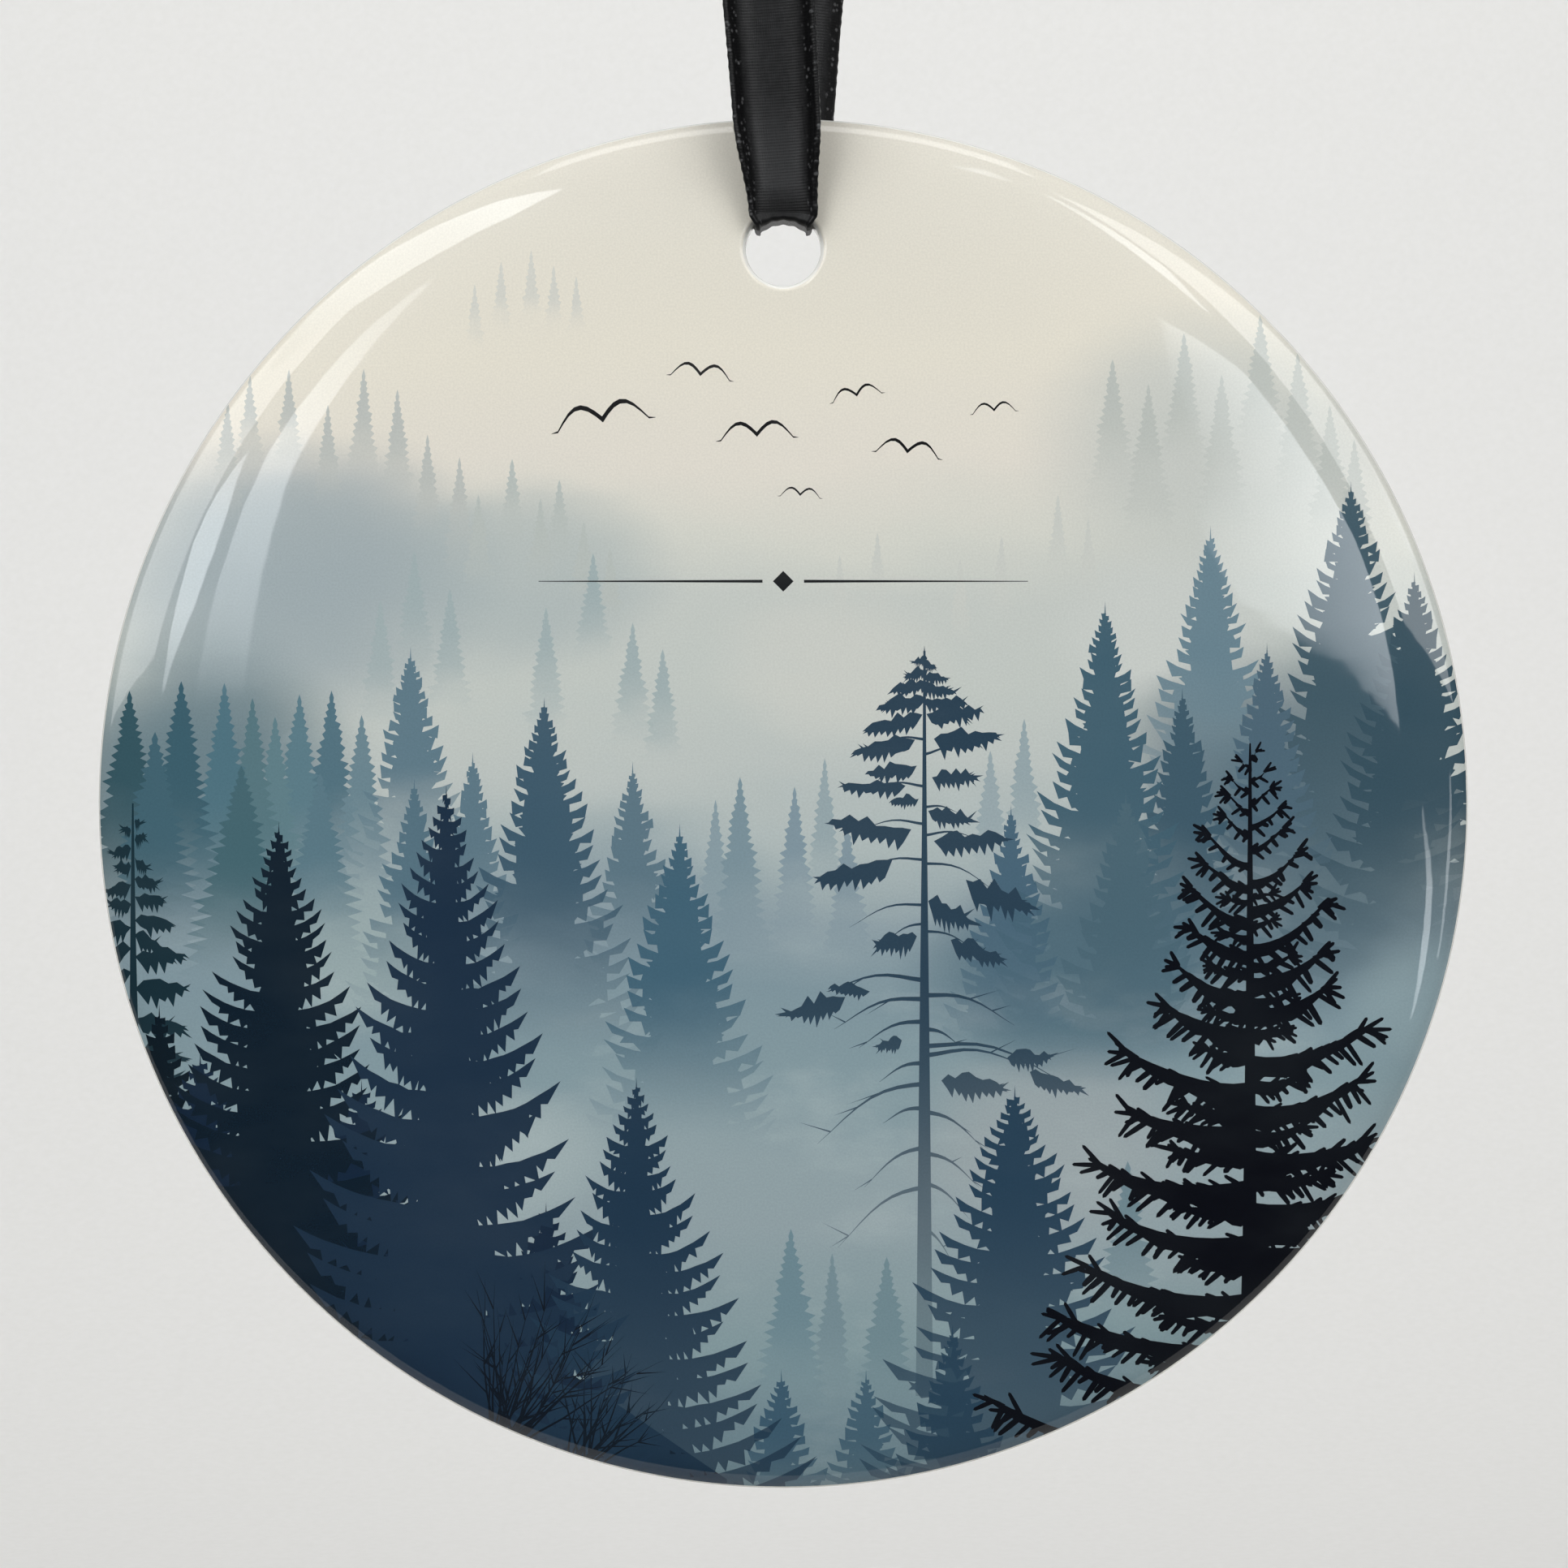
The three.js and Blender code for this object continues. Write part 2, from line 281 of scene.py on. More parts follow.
def satin_material():
    """Black satin: fine lengthwise floats over a faint cross rib, a corded selvedge with painted highlights
    on its stitches, a painted sheen above the hole and painted shade where the cloth turns into the hole.
    """
    material, nodes = new_material("black_satin")
    weave = nodes.uv("weave")
    axes = nodes.axes(weave)
    across, along = nodes.math("ABSOLUTE", axes[0]), axes[1]
    floats = nodes.noise(nodes.stretched(weave, (14.0, 1.1, 1.0)), 1.0, 3.0)
    mottle = nodes.noise(weave, 1.7, 4.0)
    rib = nodes.math("SINE", nodes.times(along, 2 * math.pi / RIB_PITCH))
    edge = nodes.ramp_value(across, 2.1, 2.45)
    stitches = nodes.cells(nodes.stretched(weave, (3.6, 3.0, 1.0)), 1.0, 0.8)
    uneven = nodes.ramp_value(nodes.noise(weave, 2.6), 0.28, 0.5)
    stitch_bump_and_glint = nodes.times(nodes.ramp_value(stitches, 0.4, 0.14), uneven)
    cloth = nodes.blend(nodes.ramp_value(mottle, 0.3, 0.75), linear("0d0d0e"), linear("1c1c1d"))
    cloth = nodes.blend(nodes.times(floats, 0.35), cloth, linear("2a2a2b"))
    height = nodes.axes(nodes.object_place())[2]
    fold = (HOLE_TOP + 0.8) * MM
    above_fold = nodes.ramp_value(height, fold, fold + 0.6 * MM)
    # Painted sheen: a paler patch across the middle of the cloth just above the hole stands in for the
    # satin's highlight there.
    painted_sheen = nodes.times(above_fold, nodes.ramp_value(height, -56 * MM, -60.5 * MM))
    middle = nodes.times(painted_sheen, nodes.ramp_value(across, 2.1, 1.5))
    cloth = nodes.blend(nodes.times(middle, 0.45), cloth, linear("3c3c3d"))
    shaded = nodes.times(nodes.ramp_value(height, fold, fold - 0.4 * MM), 0.85)
    cloth = nodes.blend(shaded, cloth, linear("020202"))
    # Painted highlight: pale dots on the selvedge's stitches stand in for the satin's glints on them; the
    # same dots also raise the stitches' bump.
    selvedge = nodes.blend(nodes.times(stitch_bump_and_glint, 0.75), linear("040405"), linear("5c5c5d"))
    relief = nodes.math("ADD", nodes.times(floats, 0.7), nodes.times(rib, 0.12))
    relief = nodes.math("ADD", relief, nodes.times(nodes.times(stitch_bump_and_glint, edge), 1.6))
    nodes.finish({
        "Base Color": nodes.blend(edge, cloth, selvedge),
        "Roughness": nodes.ramp_value(floats, 0.2, 0.8, 0.36, 0.52),
        "Normal": nodes.bump(relief, 0.5, 0.00004),
        "Sheen Weight": 0.1,
        "Sheen Roughness": 0.4,
        "Sheen Tint": linear("8a8a8c"),
        "Specular IOR Level": 0.25,
    })
    return material


SATIN = satin_material()


def even_line(points, spacing):
    """Points a fixed distance apart along a smooth curve through the given ones, in millimetres."""
    points = np.asarray(points, float)
    padded = np.vstack([2 * points[0] - points[1], points, 2 * points[-1] - points[-2]])
    dense = []
    for i in range(1, len(padded) - 2):
        a, b, c, d = padded[i - 1 : i + 3]
        for t in np.linspace(0, 1, 24, endpoint=False):
            bend = (2 * a - 5 * b + 4 * c - d) * t**2 + (3 * b - 3 * c + d - a) * t**3
            dense.append(0.5 * (2 * b + (c - a) * t + bend))
    dense.append(points[-1])
    dense = np.array(dense)
    run = run_along(dense)
    count = max(2, int(round(run[-1] / spacing)))
    places = np.linspace(0, run[-1], count + 1)
    return np.stack([np.interp(places, run, dense[:, k]) for k in range(3)], axis=1)


def cloth_outline(shape, u, run):
    """Both sides of the cloth round its section, with the corded edge thicker at each stitch."""
    slope = unit(np.gradient(shape, axis=0))
    normal = np.stack([-slope[:, 1], slope[:, 0]], axis=1)
    stitch = 1 + 0.45 * math.sin(2 * math.pi * run / PICOT_PITCH)
    picot = 1 + 0.5 * smooth(np.abs(u), 0.86, 0.96) * stitch
    half = CLOTH_HALF * picot * np.sqrt(np.clip(1 - np.abs(u) ** 40, 0.05, 1))
    top, under = shape + normal * half[:, None], shape - normal * half[:, None]
    return np.vstack([top, under[::-1]])


def cloth_faces(count, width, closed):
    """Faces between a sweep's rings, and over both cut ends unless it is closed to a loop."""
    faces = []
    for i in range(count if closed else count - 1):
        a, b = i * width, ((i + 1) % count) * width
        for k in range(width):
            m = (k + 1) % width
            faces.append((a + k, b + k, b + m, a + m))
    if not closed:
        for ring, flip in ((0, False), ((count - 1) * width, True)):
            for k in range(width // 2 - 1):
                quad = (ring + k, ring + k + 1, ring + width - 2 - k, ring + width - 1 - k)
                faces.append(quad[::-1] if flip else quad)
    return faces


def ribbon_mesh(name, line, across, section, closed=False, v_start=0.0, cut=None, tangents=None):
    """Sweeps a cloth section along a line. section(i, u) gives sideways and outward offsets at the places u,
    -1 to 1, across the cloth. cut(share across) moves the last end along the line."""
    line = np.asarray(line, float)
    count = len(line)
    if closed:
        tangents = np.roll(line, -1, 0) - np.roll(line, 1, 0)
    elif tangents is None:
        tangents = directions(line)
    tangents = unit(tangents)
    across = np.asarray(across, float)
    across = unit(across - (across * tangents).sum(1)[:, None] * tangents)
    outward = np.cross(tangents, across)
    run = run_along(line) + v_start
    u = np.linspace(-1, 1, 41)
    u = np.sign(u) * np.abs(u) ** 0.85
    round_u = np.concatenate([u, u[::-1]])
    rings = []
    for i in range(count):
        outline = cloth_outline(np.stack(section(i, u), axis=1), u, run[i])
        slide = np.zeros(len(outline))
        if cut is not None:
            slide = smooth(i / (count - 1), 0.55, 1.0) * np.array([cut(s) for s in round_u])
        spread = outline[:, :1] * across[i] + outline[:, 1:] * outward[i]
        rings.append(line[i] + spread + slide[:, None] * tangents[i])
    width = len(round_u)
    made = new_object(name, np.vstack(rings), cloth_faces(count, width, closed), SATIN)
    weave = np.stack([np.tile(round_u * CLOTH_WIDTH / 2, count), np.repeat(run, width)], axis=1)
    add_layout(made.data, "weave", weave[vertex_of_loops(made.data)])
    fix_normals(made)
    return made


def fix_normals(piece):
    """Points every face outwards and keeps the cut ends crisp."""
    shape = bmesh.new()
    shape.from_mesh(piece.data)
    bmesh.ops.recalc_face_normals(shape, faces=shape.faces)
    for edge in shape.edges:
        edge.smooth = edge.calc_face_angle(0) < math.radians(62)
    shape.to_mesh(piece.data)
    shape.free()
    piece.data.update()


def hole_section(u):
    """The cloth packed under the hole's roof in small gathers, measured from the leg's centreline."""
    angle = u * math.radians(57)
    radius = HOLE_RADIUS - 0.42 + 0.15 * u * u + 0.025 * np.cos(5 * math.pi * u)
    return radius * np.sin(angle), (HOLE_RADIUS - LEG_BEND) - radius * np.cos(angle)


def leg_section(u, chord, settle):
    """A flat middle with both edges curled outwards, so that cloth keeps its width over a shorter chord."""
    low, high = 0.0, 3.0
    for _ in range(18):
        depth = (low + high) / 2
        x, y = u * chord / 2, depth * np.abs(u) ** 3.4
        length = np.hypot(np.diff(x), np.diff(y)).sum()
        low, high = (depth, high) if length < CLOTH_WIDTH else (low, depth)
    return x, y - settle


def strand_section(height):
    """The section at a height above the top of the hole."""
    chord = 3.6 + 0.95 * smooth(height, 0, 5) + 0.2 * smooth(height, 4, 12) + smooth(height, 8, 34)
    settle = 0.5 - 0.3 * smooth(height, 2, 12)
    open_share = smooth(height, -0.62, -0.25)
    curl = 0.3 + 0.7 * smooth(height, -0.2, 4.5)

    def section(u):
        flat = leg_section(u, chord, settle)
        flat = (flat[0], (flat[1] + settle) * curl - settle)
        packed = hole_section(u)
        return mix(packed[0], flat[0], open_share), mix(packed[1], flat[1], open_share)

    return section


def ribbon_places():
    """The loop's line from the crown's front end, down, through the hole and up, to the crown's back end."""
    front, back = ([np.array(p) for p in run] for run in (FRONT_RUN, BACK_RUN))
    turns = [math.radians(degrees) for degrees in (0, 30, 60, 90)]
    corner = [(0.0, FRONT_Y - LEG_BEND * math.cos(a), HOLE_TOP - LEG_BEND * math.sin(a)) for a in turns]
    leg = [(-0.52, LEG_Y - 0.01, -55.6), (-0.36, LEG_Y, -58.0), (-0.2, LEG_Y, -60.2), (-0.06, LEG_Y, -62.0)]
    mouth = [np.array(p) for p in leg + corner]
    through = [np.array((0.0, y, HOLE_TOP - LEG_BEND)) for y in (-0.8, 0.0, 0.8)]
    mirrored = [np.array((-p[0], -p[1], p[2])) for p in mouth[::-1]]
    return front, mouth, through, mirrored, back[::-1]


FRONT, MOUTH, THROUGH, MOUTH_BACK, BACK = ribbon_places()


def turned(turn, count):
    """Level directions across the cloth, turned from X by one angle or by one for each place."""
    turn = np.broadcast_to(turn, count)
    return np.stack([np.cos(turn), np.sin(turn), np.zeros(count)], axis=1)


def height_clip(line, tangents, height, keep_above):
    """Cuts off both ends of a line at a height, with an exact last place and direction at each cut."""
    side = (line[:, 2] - height) * (1 if keep_above else -1)
    inside = np.nonzero(side > 1e-9)[0]
    first, last = inside[0], inside[-1]
    places, ways = list(line[first : last + 1]), list(tangents[first : last + 1])
    for edge, other, spot in ((first, first - 1, 0), (last, last + 1, len(places))):
        if 0 <= other < len(line):
            share = side[edge] / (side[edge] - side[other])
            places.insert(spot if spot == 0 else len(places), mix(line[edge], line[other], share))
            ways.insert(spot if spot == 0 else len(ways), mix(tangents[edge], tangents[other], share))
    return np.array(places), np.array(ways)


def directions(line):
    """The line's own direction at each of its places."""
    return unit(np.gradient(line, axis=0))


def strand(name, points):
    """One free strand from the crown's end to the gathered stretch."""
    line = even_line(points, 0.3)
    line, ways = height_clip(line, directions(line), CROWN_END, False)
    line, ways = height_clip(line, ways, BIGHT_END, True)
    turn = CROWN_TURN * smooth(line[:, 2], TWIST_PLANE, HANG_STRAIGHT)
    sections = [strand_section(z - HOLE_TOP) for z in line[:, 2]]
    across = turned(turn, len(line))
    made = ribbon_mesh(name, line, across, lambda i, u: sections[i](u), v_start=0.07, tangents=ways)
    return made, line


front_strand, front_line = strand("ribbon_front_strand", FRONT + MOUTH)
back_strand, back_line = strand("ribbon_back_strand", MOUTH_BACK + BACK)


def bight():
    """The gathered stretch: down the front of the web, through the hole and up its back."""
    line = even_line(FRONT[-2:] + MOUTH + THROUGH + MOUTH_BACK + BACK[:2], 0.12)
    line, ways = height_clip(line, directions(line), BIGHT_END, False)

    def section(i, u):
        height = line[i][2] - HOLE_TOP if abs(line[i][1]) > -FRONT_Y else -1.0
        return strand_section(height)(u)

    return ribbon_mesh("ribbon_bight_cloth", line, turned(0.0, len(line)), section, tangents=ways)


bight_cloth = bight()


def crown_turned(x, y, z):
    """A place turned with the crown about the loop's middle."""
    c, s = math.cos(CROWN_TURN), math.sin(CROWN_TURN)
    return np.array((c * x - s * y, s * x + c * y, z))


def crown():
    """The arch over the hanger, with both legs down to the free strands."""
    arch = []
    for degrees in range(0, 181, 15):
        a = math.radians(degrees)
        arch.append(crown_turned(0.0, CROWN_DEPTH * math.cos(a), CROWN_SPRING + CROWN_DEPTH * math.sin(a)))
    below = (0, 0, -3.0)
    line = even_line(BACK[-6:] + [arch[0] + below] + arch + [arch[-1] + below] + FRONT[:6], 0.25)
    line, ways = height_clip(line, directions(line), CROWN_END, True)
    turn = CROWN_TURN * smooth(line[:, 2], TWIST_PLANE, HANG_STRAIGHT)
    section = strand_section(CROWN_END - HOLE_TOP)
    across = turned(turn, len(line))
    return ribbon_mesh("ribbon_crown_cloth", line, across, lambda i, u: section(u), tangents=ways)


crown_cloth = crown()


def wrap(name, size, tilt, raise_, width, pleats):
    """A band of ribbon drawn tight round the knot."""
    line, across = [], []
    steps = 120
    for i in range(steps):
        a = 2 * math.pi * i / steps
        x, y = size[0] * math.cos(a), size[1] * math.sin(a)
        z = math.tan(tilt) * x + 0.25 * math.sin(2 * a)
        line.append((x, y, z + raise_))
        across.append((-math.sin(tilt), 0.0, math.cos(tilt)))
    line = [crown_turned(*p) + (0, 0, KNOT_MIDDLE[2]) for p in line]
    across = [crown_turned(*p) for p in across]

    def section(i, u):
        puff = 1 + 0.12 * math.sin(2 * math.pi * i / steps * 2 + 0.6)
        return u * width / 2 * puff, 0.16 * np.cos(pleats * math.pi * u) - 0.55 * np.abs(u) ** 3

    return ribbon_mesh(name, line, across, section, closed=True)


def knot():
    """An overhand knot: two tight wraps over a packed core."""
    wide, deep = 2.75, 1.95
    outer = wrap("ribbon_knot_cloth", (3.15, 2.3), math.radians(17), -0.25, 3.3, 3)
    inner = wrap("knot_inner", (wide, deep), math.radians(-34), 0.35, 2.7, 2)
    core_shape = bmesh.new()
    bmesh.ops.create_icosphere(core_shape, subdivisions=5, radius=1.0)
    top, seat = KNOT_MIDDLE[2] + 2.05, CROWN_SPRING + CROWN_DEPTH - 0.35
    for v in core_shape.verts:
        x, y, z = v.co
        ridge = 1 + 0.05 * math.cos(9 * math.atan2(y, x) + 2.5 * z) * (1 - z * z)
        broad = 1 + 0.3 * max(0.0, -z)
        x, y, z = wide * x * ridge * broad, deep * y * ridge, mix(seat, top, (z + 1) / 2)
        v.co = Vector(crown_turned(x, y, z)) * MM
    uv = core_shape.loops.layers.uv.new("weave")
    for face in core_shape.faces:
        for loop in face.loops:
            p = loop.vert.co / MM
            loop[uv].uv = (math.fmod(p.x, 2.0), p.z * 1.5)
    mesh = bpy.data.meshes.new("knot_core")
    core_shape.to_mesh(mesh)
    core_shape.free()
    core = place_mesh("knot_core", mesh, SATIN)
    bpy.ops.object.select_all(action="DESELECT")
    for piece in (inner, core, outer):
        piece.select_set(True)
    bpy.context.view_layer.objects.active = outer
    bpy.ops.object.join()
    return outer


knot_cloth = knot()


def tail(name, side):
    """A cut end that leaves the knot pinched and opens to its full width."""
    low, high = box_of("ribbon_tail_left" if side < 0 else "ribbon_tail_right")
    root = (side * 0.7, 0.0, KNOT_MIDDLE[2] + 0.4)
    tip_x = side * (max(abs(low[0]), abs(high[0])) - 2.6)
    tip_z = high[2] - 1.6
    points = [
        root,
        (side * 1.1, side * 0.25, KNOT_HIGH[2] + 0.6),
        (mix(side * 1.1, tip_x, 0.3), side * 0.5, mix(KNOT_HIGH[2], tip_z, 0.36)),
        (mix(side * 1.1, tip_x, 0.64), side * 0.35, mix(KNOT_HIGH[2], tip_z, 0.7)),
        (tip_x, -side * 0.5, tip_z),
    ]
    line = even_line(points, 0.2)
    count = len(line)
    turn = np.linspace(math.radians(side * 12), math.radians(side * -22), count)

    def section(i, u):
        share = i / (count - 1)
        open_share = smooth(share, 0.05, 0.55)
        chord = mix(3.0, 5.9, open_share)
        pleat = 0.42 * (1 - open_share) * np.cos(3 * math.pi * u)
        cup = mix(0.5, 0.35 + 0.25 * math.sin(3 * share), open_share) * u * u
        return u * chord / 2, pleat + cup

    return ribbon_mesh(name, line, turned(turn, count), section, cut=lambda s: side * 1.5 * s)


tail_left = tail("ribbon_tail_left_cloth", -1)
tail_right = tail("ribbon_tail_right_cloth", 1)

for piece, node in (
    (front_strand, "ribbon_front_run"),
    (back_strand, "ribbon_back_run"),
    (bight_cloth, "ribbon_bight"),
    (crown_cloth, "ribbon_crown"),
    (knot_cloth, "ribbon_knot"),
    (tail_left, "ribbon_tail_left"),
    (tail_right, "ribbon_tail_right"),
):
    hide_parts(node)

for piece in (knot_cloth, tail_left, tail_right):
    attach(piece, "ribbon_top")
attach(bight_cloth, "ribbon_bight")
for piece in (front_strand, back_strand):
    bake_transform(piece)
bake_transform(crown_cloth)


def declare_strand(line):
    """Takes about thirty places along a strand, ending at its last place; nothing is done with them."""
    route = line[:: max(1, len(line) // 30)]
    if not np.allclose(route[-1], line[-1]):
        route = np.vstack([route, line[-1]])


declare_strand(front_line[::-1])
declare_strand(back_line)

# ---------------------------------------------------------------- ceramic disc and its printed face

THICKNESS = BACK_Y - FRONT_Y
FLAT_RADIUS = 0.6 * DISC_RADIUS
ROLL = DISC_RADIUS - FLAT_RADIUS
FRONT_DEPTH = THICKNESS / 2 - 0.1
BACK_ROUND = 1.3
HOLE_FILLET = 0.35
COAT = 0.05  # thickness of the printed coat
PRINT_EDGE = DISC_RADIUS * 0.9975
HOLE_OFFSET = HOLE_Z - DISC_Z
RIM_STEPS = 240
HOLE_STEPS = 96


def hole_round(distance):
    """Fall and slope of the rounding at the hole, at a distance outside its wall."""
    inward = np.clip(HOLE_FILLET - distance, 0, HOLE_FILLET * 0.99999)
    root = np.sqrt(HOLE_FILLET**2 - inward**2)
    return HOLE_FILLET - root, -inward / root


def face_shape(x, z, start, width, power, level, way):
    """Height and outward normal of a face that is flat up to a radius and then rolls away over a width, for
    places measured from the disc's middle. way is -1 for the front and 1 for the back."""
    radius = np.maximum(np.hypot(x, z), 1e-9)
    share = np.clip((radius - start) / width, 0, 1)
    root = np.sqrt(np.maximum(1 - share**power, 1e-9))
    fall = FRONT_DEPTH * (1 - root)
    slope = FRONT_DEPTH * power / 2 * share ** (power - 1) / root / width
    hole_distance = np.maximum(np.hypot(x, z - HOLE_OFFSET), 1e-9)
    hole_fall, hole_slope = hole_round(hole_distance - HOLE_RADIUS)
    push_x = slope * x / radius + hole_slope * x / hole_distance
    push_z = slope * z / radius + hole_slope * (z - HOLE_OFFSET) / hole_distance
    normal = np.stack([push_x, np.full_like(push_x, float(way)), push_z], axis=1)
    return level - way * (fall + hole_fall), unit(normal)


def front_shape(x, z):
    return face_shape(x, z, FLAT_RADIUS, ROLL, 4, FRONT_Y, -1)


def back_shape(x, z):
    return face_shape(x, z, DISC_RADIUS - BACK_ROUND, BACK_ROUND, 2, BACK_Y, 1)


def ring(radius, steps, offset=0.0):
    """Places round a circle, raised by an offset."""
    angles = np.arange(steps) * 2 * math.pi / steps
    return [(radius * math.cos(a), radius * math.sin(a) + offset) for a in angles]


def front_ring_radii(last):
    """Radii of the rings that carry the front's roll, closer together where it falls away."""
    radii = [FLAT_RADIUS * 0.5, FLAT_RADIUS]
    for degrees in range(6, 91, 6):
        radii.append(FLAT_RADIUS + ROLL * math.sqrt(math.sin(math.radians(degrees))))
    return [r for r in radii if r < last - 0.01] + [last]


def plan_mesh(outer, inner, drawings=(), extra_radii=()):
    """Triangles of a flat disc with the hole, cut along the drawings. Gives the places, the triangles and,
    for each triangle, the drawings that hold it."""
    points, edges, faces = [], [], []

    def add_ring(places):
        first = len(points)
        points.extend(places)
        edges.extend((first + i, first + (i + 1) % len(places)) for i in range(len(places)))

    for radius in sorted(set(front_ring_radii(outer)) | set(extra_radii)):
        add_ring(ring(radius, RIM_STEPS if radius > FLAT_RADIUS else HOLE_STEPS))
    for step in (0.0, 0.06, 0.14, 0.24, HOLE_FILLET):
        if HOLE_RADIUS + step > inner - 1e-9:
            add_ring(ring(HOLE_RADIUS + step, HOLE_STEPS, HOLE_OFFSET))
    if inner > HOLE_RADIUS + 1e-9:
        add_ring(ring(inner, HOLE_STEPS, HOLE_OFFSET))
    for drawing in drawings:
        area = sum(a[0] * b[1] - b[0] * a[1] for a, b in zip(drawing, drawing[1:] + drawing[:1]))
        outline = drawing if area > 0 else drawing[::-1]
        faces.append(list(range(len(points), len(points) + len(outline))))
        points.extend(outline)
    result = delaunay_2d_cdt([Vector(p) for p in points], edges, faces, 0, 1e-5, True)
    places = np.array([tuple(v) for v in result[0]])
    kept, holders = [], []
    for face, inside in zip(result[2], result[5]):
        middle = places[list(face)].mean(0)
        off_disc = math.hypot(*middle) > outer * math.cos(math.pi / RIM_STEPS)
        in_hole = math.hypot(middle[0], middle[1] - HOLE_OFFSET) < inner * math.cos(math.pi / HOLE_STEPS)
        if not (off_disc or in_hole):
            kept.append(tuple(face))
            holders.append(inside)
    used = sorted({v for face in kept for v in face})
    place_of = {v: i for i, v in enumerate(used)}
    kept = [tuple(place_of[v] for v in face) for face in kept]
    return places[used], kept, holders


def shell(name, plan, faces, front, back, material):
    """Joins a front and a back sheet of the same triangles into one closed piece, with exact normals. Each
    sheet is (places, normals). Gives the piece and how many of its faces are in front."""
    count = len(plan)
    sides = dict.fromkeys(side for face in faces for side in zip(face, face[1:] + face[:1]))
    walls = [(a, b) for a, b in sides if (b, a) not in sides]
    flipped = [face[::-1] for face in faces]
    a, b, c = (np.array(front[0][v]) for v in faces[0])
    front_faces = faces if np.cross(b - a, c - a)[1] < 0 else flipped
    back_faces = flipped if front_faces is faces else faces
    wall_faces = [(a, b, b + count, a + count) for a, b in walls]
    if front_faces is faces:
        wall_faces = [face[::-1] for face in wall_faces]
    verts = np.vstack([front[0], back[0]])
    all_faces = front_faces + [tuple(v + count for v in face) for face in back_faces] + wall_faces
    made = new_object(name, verts, all_faces, material)
    wall_normals = wall_direction(plan)
    normals = [front[1][v] for face in front_faces for v in face]
    normals += [back[1][v] for face in back_faces for v in face]
    normals += [wall_normals[v % count] for face in wall_faces for v in face]
    made.data.normals_split_custom_set([tuple(n) for n in normals])
    return made, len(front_faces)


def wall_direction(plan):
    """Outward direction of the rim's wall or the hole's wall at each place."""
    x, z = plan[:, 0], plan[:, 1]
    at_rim = np.hypot(x, z) > DISC_RADIUS * 0.98
    to_hole = np.stack([-x, np.zeros(len(x)), HOLE_OFFSET - z], axis=1)
    away = np.stack([x, np.zeros(len(x)), z], axis=1)
    chosen = np.where(at_rim[:, None], away, to_hole)
    return chosen / np.maximum(np.linalg.norm(chosen, axis=1), 1e-9)[:, None]


def in_row_frame(plan, heights):
    """Places on the disc's face, moved to where the disc hangs."""
    return np.stack([plan[:, 0], heights, plan[:, 1] + DISC_Z], axis=1)


def glaze_material():
    """White glaze: faint warm and cool drift, pinholes and a soft ripple."""
    material, nodes = new_material("white_glaze")
    place = nodes.object_place()
    drift = nodes.noise(place, 45.0, 3.0)
    colour = nodes.blend(drift, linear("f1efe8"), linear("e8e7e2"))
    speck = nodes.ramp_value(nodes.noise(place, 160.0), 0.58, 0.66)
    pit = nodes.times(nodes.ramp_value(nodes.cells(place, 420.0, 1.0), 0.13, 0.04), speck)
    height = nodes.math("SUBTRACT", nodes.times(nodes.noise(place, 260.0, 1.0), 0.6), pit)
    nodes.finish({
        "Base Color": nodes.blend(nodes.times(pit, 0.5), colour, linear("b7b1a3")),
        "Normal": nodes.bump(height, 0.25, 0.00003),
        "Roughness": nodes.ramp_value(drift, 0.3, 0.7, 0.1, 0.16),
    })
    return material


def ceramic_body():
    """The glazed body. Its front lies just under the printed coat."""
    back_radii = [DISC_RADIUS - BACK_ROUND * (1 - math.sin(math.radians(d))) for d in range(0, 90, 10)]
    plan, faces, _ = plan_mesh(DISC_RADIUS, HOLE_RADIUS, extra_radii=back_radii)
    x, z = plan[:, 0], plan[:, 1]
    front, front_normals = front_shape(x, z)
    back, back_normals = back_shape(x, z)
    front_places = in_row_frame(plan, front)
    edge_share = 1 - smooth(np.hypot(x, z), PRINT_EDGE, DISC_RADIUS)
    hole_share = smooth(np.hypot(x, z - HOLE_OFFSET) - HOLE_RADIUS, 0.08, 0.2)
    sink = (COAT + 0.01) * edge_share * hole_share
    back_places = in_row_frame(plan, back)
    front_sheet = (front_places - front_normals * sink[:, None], front_normals)
    made, _ = shell("glazed_disc", plan, faces, front_sheet, (back_places, back_normals), GLAZE)
    return made


GLAZE = glaze_material()
glazed_disc = ceramic_body()
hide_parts("ceramic_disc")
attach(glazed_disc, "disc")

# ---------------------------------------------------------------- the printed forest
# Places are in millimetres from the disc's middle, x to the right and z up.


def both_sides(x, rows):
    """An outline that is the same on both sides of x, from rows of half width and height."""
    return [(x - half, z) for half, z in rows] + [(x + half, z) for half, z in rows[::-1]]


